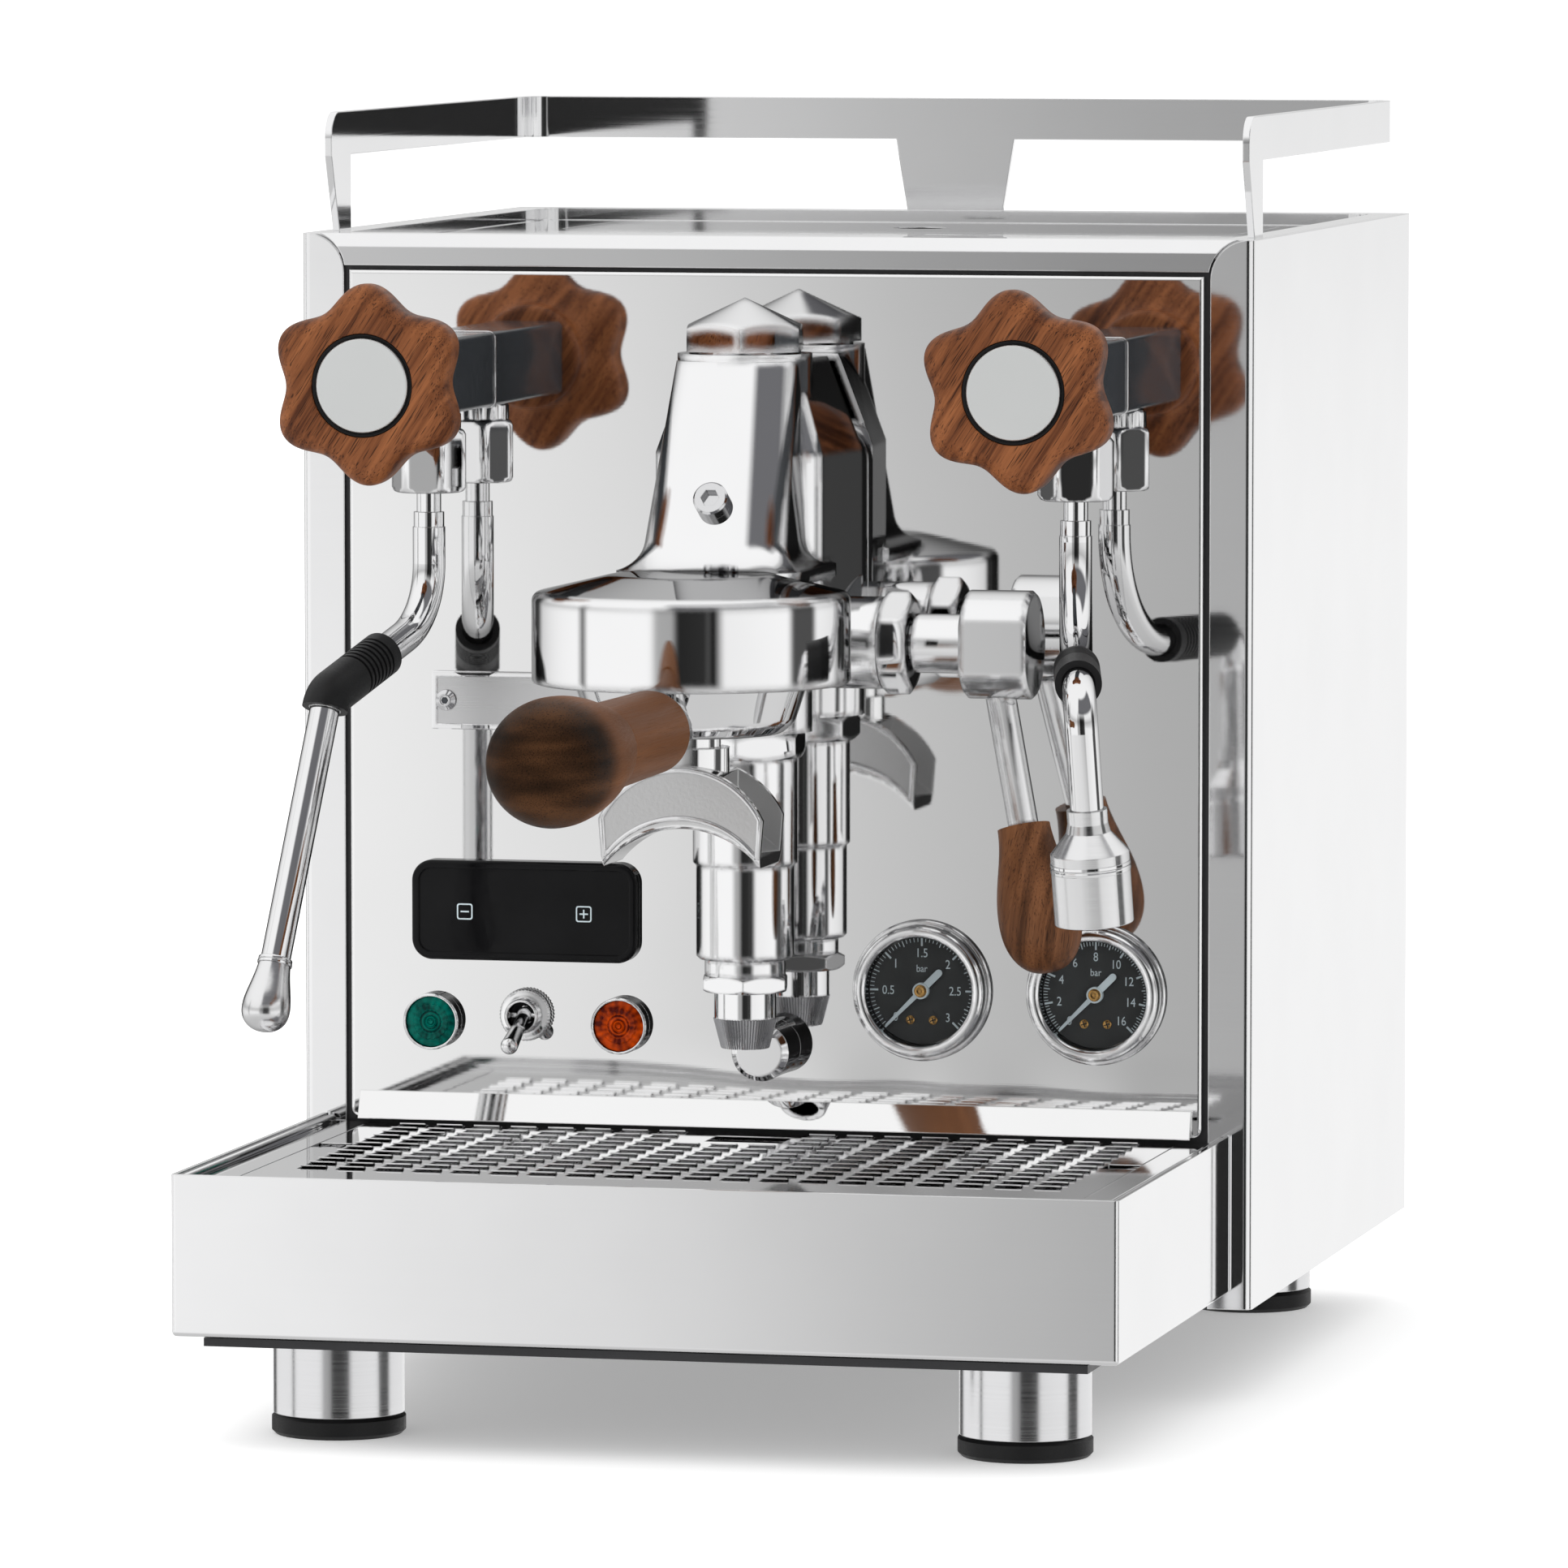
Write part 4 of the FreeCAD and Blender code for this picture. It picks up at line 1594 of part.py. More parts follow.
def steam_nozzle():
    """Bulb with a rounded end on the steam wand."""
    end, along = nozzle_line(-1, STEAM_PATH)
    length = STEAM_NOZZLE_LENGTH
    r = STEAM_NOZZLE_R
    curve = [(STEAM_LOWER_R * 1.06, 0), (STEAM_LOWER_R * 1.1, length * 0.1), (r * 0.9, length * 0.45),
             (r, length * 0.66), (r * 0.9, length * 0.85), (r * 0.6, length * 0.96), (0, length)]
    return turned_curve(curve, end, along)


def water_knob():
    """Right knob."""
    return valve_knob(1)


def water_spindle():
    """Right valve stem."""
    return valve_spindle(1)


def water_ball():
    """Right ball."""
    return wand_ball(1)


def water_wand():
    """Right wand."""
    return wand(1, WATER_PATH, PIPE_R)


def water_sleeve():
    """Right grip, straight and in front of the knee's bend."""
    knee = wand_corners(1, WATER_PATH)[2]
    start, run = sleeve_start(1, WATER_PATH, WATER_SLEEVE_OUT)
    stop = knee - run * knee_reach(1, WATER_PATH)
    cover = cylinder(SLEEVE_R, start, stop)
    bore = cylinder(PIPE_R + RUN_GAP, start - run * PAST, stop + run * PAST)
    return cover.cut([bore] + sleeve_grooves(start, run))


def water_nozzle():
    """Flared outlet with an open mouth on the water wand."""
    end, along = nozzle_line(1, WATER_PATH)
    length = WATER_NOZZLE_LENGTH
    r = WATER_NOZZLE_R
    bore = r - WATER_NOZZLE_WALL
    floor = length - WATER_NOZZLE_HOLE
    outline = [(0, 0), (WATER_COLLAR_R, 0), (WATER_COLLAR_R, WATER_COLLAR_H), (WATER_NECK_R, WATER_NECK_H),
               (r, WATER_FLARE_H), (r, length), (bore, length), (bore, floor), (0, floor)]
    return turned(outline, end, along)


# Plate, stud and small screws
def nameplate():
    """Bare plate on the panel."""
    plate = front_plate(PLATE_LEFT + PLATE_LENGTH / 2, PLATE_Z, PLATE_LENGTH, PLATE_HEIGHT, PLATE_CORNER,
                        PANEL_FRONT - PLATE_T, PANEL_FRONT)
    holes = [cylinder(SCREW_R + FIT_GAP, V(x, PANEL_FRONT - PLATE_T - PAST, PLATE_Z),
                      V(x, PANEL_FRONT + PAST, PLATE_Z)) for x in plate_screw_xs()]
    return plate.cut(holes)


def panel_stud():
    """Short polished stud under the group."""
    edge = STUD_EDGE
    outline = [(0, -STUD_THREAD), (STUD_THREAD_R, -STUD_THREAD), (STUD_THREAD_R, 0), (STUD_R, 0),
               (STUD_R, STUD_LENGTH - edge), (STUD_R - edge, STUD_LENGTH), (0, STUD_LENGTH)]
    return turned(outline, V(0, PANEL_FRONT, STUD_Z), FORWARD)


def case_screws():
    """Round-headed screws of the back wall and of the name plate."""
    head = SCREW_HEAD_R
    outline = [(0, -SCREW_LENGTH), (SCREW_R, -SCREW_LENGTH), (SCREW_R, 0), (head, 0), (head, SCREW_EDGE_H),
               (SCREW_TOP_R, SCREW_HEAD_H), (0, SCREW_HEAD_H)]
    solids = [turned(outline, V(x, HOUSING_DEPTH, z), Y_AXIS) for x, z in back_screw_places()]
    solids += [turned(outline, V(x, PANEL_FRONT - PLATE_T, PLATE_Z), FORWARD) for x in plate_screw_xs()]
    return Part.makeCompound(solids)


def power_inlet():
    """Mains inlet in the back wall, with three pins in its socket."""
    back = HOUSING_DEPTH
    width = INLET_WIDTH
    height = INLET_HEIGHT
    flange = front_plate(INLET_X, INLET_Z, width + 2 * INLET_FLANGE, height + INLET_FLANGE, INLET_CORNER,
                         back, back + INLET_FLANGE_T)
    body = front_plate(INLET_X, INLET_Z, width, height, INLET_CORNER, back - INLET_DEPTH, back)
    end = back + INLET_FLANGE_T
    socket = front_plate(INLET_X, INLET_Z, width - 2 * INLET_WALL, height - 2 * INLET_WALL,
                         INLET_CORNER - PAST, end - INLET_SOCKET_DEPTH, end + PAST)
    pins = []
    pin_back = end - INLET_SOCKET_DEPTH - PAST
    pin_front = end - INLET_PIN
    for dx, dz in ((-width / 4, -PAST), (0, PAST * 2), (width / 4, -PAST)):
        pins.append(box(INLET_X + dx - INLET_PIN / 2, INLET_X + dx + INLET_PIN / 2, pin_back, pin_front,
                        INLET_Z + dz - INLET_PIN, INLET_Z + dz + INLET_PIN))
    return flange.fuse(body).cut(socket).multiFuse(pins).removeSplitter()


# Inside
def boiler():
    """Hollow boiler lying across the machine, with a flange at its right end."""
    half = BOILER_LENGTH / 2
    wall = BOILER_WALL
    inner = BOILER_R - wall
    hole = ELEMENT_PLUG_R + FIT_GAP
    flange = BOILER_LENGTH - BOILER_FLANGE_T
    outline = [(0, 0), (BOILER_R, 0), (BOILER_R, flange), (BOILER_FLANGE_R, flange),
               (BOILER_FLANGE_R, BOILER_LENGTH), (hole, BOILER_LENGTH), (hole, flange), (inner, flange),
               (inner, wall), (0, wall)]
    return turned(outline, V(-half, BOILER_Y, BOILER_Z), X_AXIS)


def heating_element():
    """Plug in the boiler's flange with a bent heating rod."""
    end = BOILER_LENGTH / 2
    plug_in = end - BOILER_FLANGE_T
    plug_start = V(plug_in, BOILER_Y, BOILER_Z)
    plug = cylinder(ELEMENT_PLUG_R, plug_start, plug_start + X_AXIS * ELEMENT_PLUG_T)
    far = plug_in - ELEMENT_LENGTH
    high = BOILER_Z + ELEMENT_LOOP / 2
    low = BOILER_Z - ELEMENT_LOOP / 2
    rod = bent_tube([V(plug_in + PAST, BOILER_Y, high), V(far, BOILER_Y, high), V(far, BOILER_Y, low),
                     V(plug_in + PAST, BOILER_Y, low)], [ELEMENT_BEND, ELEMENT_BEND], ELEMENT_R)
    return plug.fuse(rod).removeSplitter()


def vibration_pump():
    """Pump with a port at each end, on a foot."""
    half = PUMP_LENGTH / 2
    level = FLOOR_TOP + PUMP_FOOT_H + PUMP_R
    end = half + PUMP_PORT
    outline = [(0, -end), (PUMP_PORT_R, -end), (PUMP_PORT_R, -half), (PUMP_R, -half),
               (PUMP_R, half), (PUMP_PORT_R, half), (PUMP_PORT_R, end), (0, end)]
    barrel = turned(outline, V(PUMP_X, PUMP_Y, level), X_AXIS)
    foot = centred_box(PUMP_X, PUMP_FOOT_WIDTH, PUMP_Y, PUMP_R, FLOOR_TOP, level)
    return barrel.fuse(foot).removeSplitter()


def control_box():
    """Closed box of the control unit."""
    half = CONTROL_WIDTH / 2
    return rounded_box(CONTROL_X - half, CONTROL_X + half, CONTROL_FRONT, CONTROL_FRONT + CONTROL_DEPTH,
                       FLOOR_TOP, FLOOR_TOP + CONTROL_HEIGHT, Z_AXIS, CONTROL_ROUND)


def water_tank():
    """Open tank that stands on the shelf and lifts out through the cup tray."""
    outer = rounded_box(-TANK_HALF, TANK_HALF, TANK_FRONT, TANK_BACK, TANK_BOTTOM, TANK_TOP, Z_AXIS,
                        TANK_CORNER)
    wall = TANK_WALL
    inner = rounded_box(-TANK_HALF + wall, TANK_HALF - wall, TANK_FRONT + wall, TANK_BACK - wall,
                        TANK_BOTTOM + wall, TANK_TOP + PAST, Z_AXIS, TANK_CORNER - wall)
    return outer.cut(inner)


PIECES = (
    housing_shell, base_frame, front_panel, cup_tray, cup_rail, case_screws, nameplate, panel_stud,
    power_inlet, gauge_cases, gauge_dials, gauge_glasses, boiler_needle, pump_needle, display_panel,
    lamp_bezels, green_lens, orange_lens, toggle_collar, toggle_lever, group_body, group_cap_nut,
    group_screws, group_gasket, shower_screen, exhaust_valve_body, exhaust_nozzle, lever_gland_nut,
    lever_shaft, brew_lever, lever_grip, portafilter_body, portafilter_handle, filter_basket, double_spout,
    valve_bodies, joint_nuts, steam_knob, steam_spindle, steam_ball, steam_wand, steam_sleeve, steam_nozzle,
    water_knob, water_spindle, water_ball, water_wand, water_sleeve, water_nozzle, drip_tray, drip_grate,
    foot_sleeves, foot_pads, boiler, heating_element, vibration_pump, control_box, water_tank, tank_lid,
)

os.makedirs("parts", exist_ok=True)
for make in PIECES:
    shape = make()
    shape.translate(V(0, -MIDDLE_Y, 0))
    shape.exportStep("parts/%s.step" % make.__name__)
    facts = (make.__name__, len(shape.Solids), shape.Volume, shape.isValid())
    print("%-20s solids %2d  volume %10.0f  valid %s" % facts)
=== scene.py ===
import json
import math

import bmesh
import bpy
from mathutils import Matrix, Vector

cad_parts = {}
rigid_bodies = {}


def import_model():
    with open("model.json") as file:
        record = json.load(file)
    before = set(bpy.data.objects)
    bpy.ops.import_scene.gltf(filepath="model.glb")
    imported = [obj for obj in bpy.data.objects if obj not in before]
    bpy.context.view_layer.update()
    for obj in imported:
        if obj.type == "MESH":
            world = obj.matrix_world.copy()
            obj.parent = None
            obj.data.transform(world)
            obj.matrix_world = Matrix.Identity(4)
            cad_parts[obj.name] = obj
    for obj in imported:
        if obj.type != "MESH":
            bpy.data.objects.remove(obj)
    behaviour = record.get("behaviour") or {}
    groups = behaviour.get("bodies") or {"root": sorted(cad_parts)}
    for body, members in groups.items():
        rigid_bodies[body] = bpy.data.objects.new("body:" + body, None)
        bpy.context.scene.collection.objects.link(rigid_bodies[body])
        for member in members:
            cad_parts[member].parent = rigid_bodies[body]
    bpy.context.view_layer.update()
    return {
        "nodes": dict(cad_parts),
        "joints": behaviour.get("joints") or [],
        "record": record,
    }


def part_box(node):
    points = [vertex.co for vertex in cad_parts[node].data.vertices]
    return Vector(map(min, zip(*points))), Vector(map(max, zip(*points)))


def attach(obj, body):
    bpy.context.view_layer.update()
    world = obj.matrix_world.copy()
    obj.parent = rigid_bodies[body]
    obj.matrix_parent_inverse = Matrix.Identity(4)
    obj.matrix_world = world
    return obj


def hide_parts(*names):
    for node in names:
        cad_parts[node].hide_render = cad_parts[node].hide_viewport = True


for leftover in list(bpy.data.objects):
    bpy.data.objects.remove(leftover)
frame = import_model()
NODES = frame["nodes"]
JOINTS = {joint["name"]: joint for joint in frame["joints"]}
SLOT_OF = {part["node"]: part["material_slot"] for part in frame["record"]["subparts"]}

MM = 0.001
RIGHT = Vector((1, 0, 0))
FORWARD = Vector((0, -1, 0))
UP = Vector((0, 0, 1))
WHITE = (1, 1, 1, 1)

# Camera, solved on the photograph
PHOTO_SIZE = 1932
FOCAL_PIXELS = 13692.04
SENSOR = 36.0
CAMERA_PLACE = (0.78516, -3.3051, 0.47068)
CAMERA_YAW = 13.2656
CAMERA_PITCH = -4.7476

# Studio: brightness round the horizon in degrees from the front, positive to the right
STUDIO_ROUND = (
    (-180, 0.97), (-152, 0.95), (-143, 0.1), (-130, 0.1), (-123, 0.95), (-75, 1.0), (-73, 0.1), (-70, 0.1),
    (-68, 1.0), (-22, 1.0), (-17, 0.99), (-15.9, 0.94), (-14.6, 0.84), (-13.8, 0.75), (-12.8, 0.6),
    (-12.1, 0.49), (-11.4, 0.45), (-9, 0.42), (0, 0.4), (3.5, 0.02), (25, 0.03), (26.2, 0.22), (27, 0.01),
    (31, 0.01), (34, 0.4), (38, 0.92), (88, 1.0), (93, 0.08), (112, 0.08), (117, 0.95), (180, 0.97),
)
# Brightness by height in degrees, which scales the round
STUDIO_HEIGHT = (
    (-90, 0.6), (-40, 0.63), (-22, 0.74), (-12, 1.0), (-3.2, 1.0), (-1.8, 0.92), (3, 0.7), (8, 0.55),
    (11, 0.72), (16, 0.95), (34, 1.0), (90, 1.0),
)
# Heights in degrees where the white floor and the white roof take over from the round
FLOOR_BLEND = (-11, -20)
ROOF_BLEND = (10.8, 32.4)
# Dark flag high at the right: where it fades in and out round the horizon and by height
FLAG_ROUND = ((-10, -2), (108, 95))
FLAG_HEIGHT = ((20, 27), (60, 52))
FLAG_TONE = (0.16, 0.16, 0.17, 1)
ROOM_STRENGTH = 1.12
# Soft light from the upper left, in metres and watts
LIGHT_PLACE = (-1.2, -1.6, 2.6)
LIGHT_TARGET = (0, 0, 0.15)
LIGHT_SIZE = 2.2
LIGHT_POWER = 16
# Floor: half its width in metres, the stops of its tone and its own glow
FLOOR_HALF = 12.0
FLOOR_TONES = ((0.3, 0.9), (0.7, 0.93))
FLOOR_GLOW = 0.33

# Materials by their names, filled as they are made
FINISH = {}
# Solids whose finish differs from that of their slot
OWN_FINISH = {
    "group_body": "casting_chrome", "group_cap_nut": "domed_chrome", "brew_lever": "crowned_chrome",
    "exhaust_valve_body": "crowned_chrome", "lever_gland_nut": "crowned_chrome",
    "steam_nozzle": "satin_steel", "water_nozzle": "satin_steel", "steam_spindle": "disc_steel",
    "water_spindle": "disc_steel", "nameplate": "plate_steel", "double_spout": "cast_spout",
}
# How far the brushing of a metal is stretched along X, Y and Z
LEVEL = (3, 3, 4000)
ACROSS = (3, 4000, 3)
UPRIGHT = (4000, 3, 3)
EVEN = (70, 70, 70)
FINE_BUMP = 0.0002
BRIGHT = (0.92, 0.92, 0.925)
# Stretch of the patterns in wood, and where its three tones sit on the grain
WOOD_CLOUD = (6, 40, 70)
WOOD_FIBRE = (28, 1900, 1900)
WOOD_PORES = (110, 2900, 2900)
WOOD_STOPS = (0.4, 0.49, 0.6)
# Dark, middle and light tone of each wood
KNOB_TONES = ((0.07, 0.02, 0.0065), (0.156, 0.05, 0.0165), (0.252, 0.087, 0.03))
GRIP_TONES = ((0.063, 0.023, 0.008), (0.124, 0.047, 0.018), (0.194, 0.077, 0.031))
HANDLE_TONES = ((0.009, 0.004, 0.0015), (0.027, 0.0115, 0.0045), (0.068, 0.029, 0.0115))
# Tint of the handle's neck, and how far past its end the tint fades, in metres
NECK_TINT = (0.108, 0.043, 0.018, 1)
NECK_FADE = (0.053, 0.034)
# Wave of the polished panel: where it fades in by height and from left to right, in metres
WAVE_HEIGHT = (0.114, 0.09)
WAVE_ACROSS = (-0.06, 0.03)
# Names and places of sockets on shader nodes
SHADER = "Principled BSDF"
MIX_FIRST = 6
MIX_SECOND = 7
MIX_RESULT = 2


def new_object(name, data):
    """Object of some data, in the scene."""
    made = bpy.data.objects.new(name, data)
    bpy.context.scene.collection.objects.link(made)
    return made


def camera():
    """Camera where the photograph was taken from."""
    data = bpy.data.cameras.new("camera")
    data.sensor_width = SENSOR
    data.lens = FOCAL_PIXELS / PHOTO_SIZE * SENSOR
    data.clip_end = 100
    made = new_object("camera", data)
    made.location = CAMERA_PLACE
    made.rotation_euler = (math.radians(90 + CAMERA_PITCH), 0, math.radians(CAMERA_YAW))
    bpy.context.scene.camera = made


# Shader nodes
def feed(tree, node, inputs):
    """Links inputs of a node to sockets, or gives them values."""
    for name, value in inputs.items():
        if isinstance(value, bpy.types.NodeSocket):
            tree.links.new(value, node.inputs[name])
        else:
            node.inputs[name].default_value = value


def add_node(tree, kind, inputs=None, **settings):
    """New shader node of a kind, with its settings and inputs."""
    made = tree.nodes.new(kind)
    for name, value in settings.items():
        setattr(made, name, value)
    feed(tree, made, inputs or {})
    return made


def ramp(tree, factor, stops):
    """Colour ramp of (place, colour or grey) stops behind a factor socket."""
    made = add_node(tree, "ShaderNodeValToRGB", {"Fac": factor})
    elements = made.color_ramp.elements
    while len(elements) > 1:
        elements.remove(elements[-1])
    for index, (place, value) in enumerate(stops):
        element = elements[0] if index == 0 else elements.new(place)
        element.position = place
        element.color = (*value, 1) if isinstance(value, tuple) else (value, value, value, 1)
    return made.outputs["Color"]


def math_node(tree, operation, *values):
    """Math node; each value is a socket or a number."""
    return add_node(tree, "ShaderNodeMath", dict(enumerate(values)), operation=operation).outputs[0]


def smooth_share(tree, value, low, high):
    """Smooth rise from 0 at low to 1 at high."""
    inputs = {"Value": value, "From Min": low, "From Max": high}
    return add_node(tree, "ShaderNodeMapRange", inputs, interpolation_type="SMOOTHSTEP").outputs[0]


def mixed_color(tree, blend, first, second, factor=1.0):
    """Mix of two colours; each of them and the factor is a socket or a value."""
    inputs = {"Factor": factor, MIX_FIRST: first, MIX_SECOND: second}
    return add_node(tree, "ShaderNodeMix", inputs, data_type="RGBA", blend_type=blend).outputs[MIX_RESULT]


def axes_of(tree, vector):
    """The X, Y and Z of a vector socket."""
    return add_node(tree, "ShaderNodeSeparateXYZ", {0: vector}).outputs


# Studio
def studio_tone(tree):
    """Brightness of the studio by direction, with a dark gap where the camera stands."""
    axes = axes_of(tree, add_node(tree, "ShaderNodeTexCoord").outputs["Generated"])
    front = math_node(tree, "MULTIPLY", axes["Y"], -1.0)
    turn = math_node(tree, "ARCTAN2", axes["X"], front)
    share = math_node(tree, "MULTIPLY_ADD", turn, 0.5 / math.pi, 0.5)
    rise = math_node(tree, "ARCSINE", axes["Z"])
    level = math_node(tree, "MULTIPLY_ADD", rise, 1 / math.pi, 0.5)
    around = ramp(tree, share, [(a / 360 + 0.5, v) for a, v in STUDIO_ROUND])
    height = ramp(tree, level, [(a / 180 + 0.5, v) for a, v in STUDIO_HEIGHT])
    ground = smooth_share(tree, level, *(a / 180 + 0.5 for a in FLOOR_BLEND))
    roof = smooth_share(tree, level, *(a / 180 + 0.5 for a in ROOF_BLEND))
    open_round = mixed_color(tree, "MIX", around, WHITE, math_node(tree, "MAXIMUM", ground, roof))
    lit = mixed_color(tree, "MULTIPLY", open_round, height)
    flag = None
    for value, span, limits in ((share, 360, FLAG_ROUND), (level, 180, FLAG_HEIGHT)):
        for limit in limits:
            fade = smooth_share(tree, value, *(a / span + 0.5 for a in limit))
            flag = fade if flag is None else math_node(tree, "MULTIPLY", flag, fade)
    return mixed_color(tree, "MULTIPLY", lit, FLAG_TONE, flag)


def studio_world():
    """White room, in which shiny surfaces mirror the studio."""
    world = bpy.data.worlds.new("studio")
    bpy.context.scene.world = world
    world.use_nodes = True
    tree = world.node_tree
    tree.nodes.clear()
    studio = add_node(tree, "ShaderNodeBackground", {"Color": studio_tone(tree)})
    room = add_node(tree, "ShaderNodeBackground", {"Color": WHITE, "Strength": ROOM_STRENGTH})
    mirrored = add_node(tree, "ShaderNodeLightPath").outputs["Is Glossy Ray"]
    inputs = {"Fac": mirrored, 1: room.outputs[0], 2: studio.outputs[0]}
    choice = add_node(tree, "ShaderNodeMixShader", inputs)
    add_node(tree, "ShaderNodeOutputWorld", {"Surface": choice.outputs[0]})


def key_light():
    """Soft square light, which the metal doesn't mirror."""
    data = bpy.data.lights.new("key", "AREA")
    data.size = LIGHT_SIZE
    data.energy = LIGHT_POWER
    made = new_object("key", data)
    made.location = LIGHT_PLACE
    facing = Vector(LIGHT_TARGET) - Vector(LIGHT_PLACE)
    made.rotation_euler = facing.to_track_quat("-Z", "Y").to_euler()
    made.visible_glossy = False


def floor():
    """Pale floor, which the metal doesn't mirror."""
    corners = [(x * FLOOR_HALF, y * FLOOR_HALF, 0) for x, y in ((-1, -1), (1, -1), (1, 1), (-1, 1))]
    mesh = bpy.data.meshes.new("floor")
    mesh.from_pydata(corners, [], [(0, 1, 2, 3)])
    made = new_object("floor", mesh)
    glow = {"Emission Color": WHITE, "Emission Strength": FLOOR_GLOW}
    tree = new_material("floor_paper", {"Roughness": 0.9, "Specular IOR Level": 0.1, **glow})
    shade(tree, "Base Color", noise_at(tree, object_coords(tree), 3.0, 4.0), FLOOR_TONES)
    mesh.materials.append(FINISH["floor_paper"])
    made.visible_glossy = False


# Materials
def new_material(name, inputs=None):
    """Tree of a new material with one principled shader, which is kept by its name."""
    FINISH[name] = bpy.data.materials.new(name)
    FINISH[name].use_nodes = True
    tree = FINISH[name].node_tree
    feed(tree, tree.nodes[SHADER], inputs or {})
    return tree


def link_shader(tree, name, socket):
    """Links a socket to an input of the material's shader."""
    feed(tree, tree.nodes[SHADER], {name: socket})


def shade(tree, name, factor, stops):
    """Ramp behind a factor socket, linked to an input of the material's shader."""
    link_shader(tree, name, ramp(tree, factor, stops))


def mapped(tree, vector, change):
    """Vector socket after a move, a turn or a stretch."""
    return add_node(tree, "ShaderNodeMapping", {"Vector": vector, **change}).outputs["Vector"]


def object_coords(tree, scale=(1, 1, 1), turn=(0, 0, 0)):
    """The object's own coordinates, turned and then stretched."""
    plain = add_node(tree, "ShaderNodeTexCoord").outputs["Object"]
    turned = mapped(tree, plain, {"Rotation": turn})
    return mapped(tree, turned, {"Scale": scale})


def noise_at(tree, vector, scale=1.0, detail=3.0, rough=0.5):
    """Noise texture on a vector."""
    inputs = {"Vector": vector, "Scale": scale, "Detail": detail, "Roughness": rough}
    return add_node(tree, "ShaderNodeTexNoise", inputs).outputs["Fac"]


def add_bump(tree, height, strength, distance=FINE_BUMP, under=None):
    """Bump on the material's shader from a height socket, over another normal if one is given."""
    made = add_node(tree, "ShaderNodeBump", {"Height": height, "Strength": strength, "Distance": distance})
    if under is not None:
        feed(tree, made, {"Normal": under})
    link_shader(tree, "Normal", made.outputs["Normal"])
    return made.outputs["Normal"]


def rounded_edges(tree, radius):
    """Softens the sharp edges of a solid in the shading."""
    made = add_node(tree, "ShaderNodeBevel", {"Radius": radius}, samples=4)
    link_shader(tree, "Normal", made.outputs["Normal"])
    return made.outputs["Normal"]


def metal(name, tone, rough, spread, lines, scratch=0.0, edge=0.0, rim=1.0):
    """Metal with fine brushing along the short axes of its stretch; rim tints it at a grazing angle."""
    tree = new_material(name, {"Metallic": 1.0, "Specular Tint": (rim, rim, rim, 1)})
    cloud = noise_at(tree, object_coords(tree), 22.0)
    dark = tuple(v * 0.97 for v in tone)
    shade(tree, "Base Color", cloud, [(0.3, dark), (0.7, tone)])
    brush = noise_at(tree, object_coords(tree, lines), detail=4.0, rough=0.65)
    shade(tree, "Roughness", brush, [(0.25, max(rough - spread, 0.0)), (0.75, rough + spread)])
    under = rounded_edges(tree, edge) if edge else None
    if scratch:
        add_bump(tree, brush, scratch, under=under)


def wood(name, tones, turn, rings=420, pores=0.28, detail=3.0, sheen=0.15):
    """Oiled open-grained wood, its fibres along the X of its turned coordinates, its rings across the Z."""
    tree = new_material(name, {"Specular IOR Level": sheen})
    broad = noise_at(tree, object_coords(tree, WOOD_CLOUD, turn), detail=2.0)
    bands = noise_at(tree, object_coords(tree, (7, 0.22 * rings, rings), turn), detail=detail, rough=0.55)
    fibre = noise_at(tree, object_coords(tree, WOOD_FIBRE, turn), detail=4.0, rough=0.65)
    figured = math_node(tree, "MULTIPLY_ADD", bands, 0.55, math_node(tree, "MULTIPLY", broad, 0.3))
    grain = math_node(tree, "MULTIPLY_ADD", fibre, 0.15, figured)
    tone = ramp(tree, grain, zip(WOOD_STOPS, tones))
    pore = noise_at(tree, object_coords(tree, WOOD_PORES, turn), detail=1.0)
    mask = ramp(tree, pore, [(0.58, 1.0), (0.68, pores)])
    link_shader(tree, "Base Color", mixed_color(tree, "MULTIPLY", tone, mask))
    shade(tree, "Roughness", fibre, [(0.3, 0.36), (0.7, 0.5)])
    add_bump(tree, mask, 0.25, 0.0003)


def handle_wood(name):
    """Dark wood of the handle, paler on its neck."""
    along = (0, 0, math.radians(90))
    wood(name, HANDLE_TONES, along, rings=130, pores=0.4, detail=1.5, sheen=0.05)
    tree = FINISH[name].node_tree
    neck_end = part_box("portafilter_handle")[1].y - NECK_LENGTH * MM
    place = axes_of(tree, object_coords(tree))
    neck = smooth_share(tree, place["Y"], *(neck_end - fade for fade in NECK_FADE))
    plain = tree.nodes[SHADER].inputs["Base Color"].links[0].from_socket
    link_shader(tree, "Base Color", mixed_color(tree, "ADD", plain, NECK_TINT, neck))


def coated(name, tone, rough, speck, grain, bump=0.1, gloss=0.5, edge=0.0):
    """Paint, plastic or rubber with a fine grain."""
    tree = new_material(name, {"Specular IOR Level": gloss})
    cloud = noise_at(tree, object_coords(tree), speck, 4.0)
    light = tuple(min(1.0, v * 1.25 + 0.002) for v in tone)
    shade(tree, "Base Color", cloud, [(0.3, tone), (0.75, light)])
    fine = noise_at(tree, object_coords(tree), grain, 2.0)
    shade(tree, "Roughness", fine, [(0.3, max(0.02, rough - 0.06)), (0.7, rough + 0.06)])
    under = rounded_edges(tree, edge) if edge else None
    if bump:
        add_bump(tree, fine, bump, under=under)


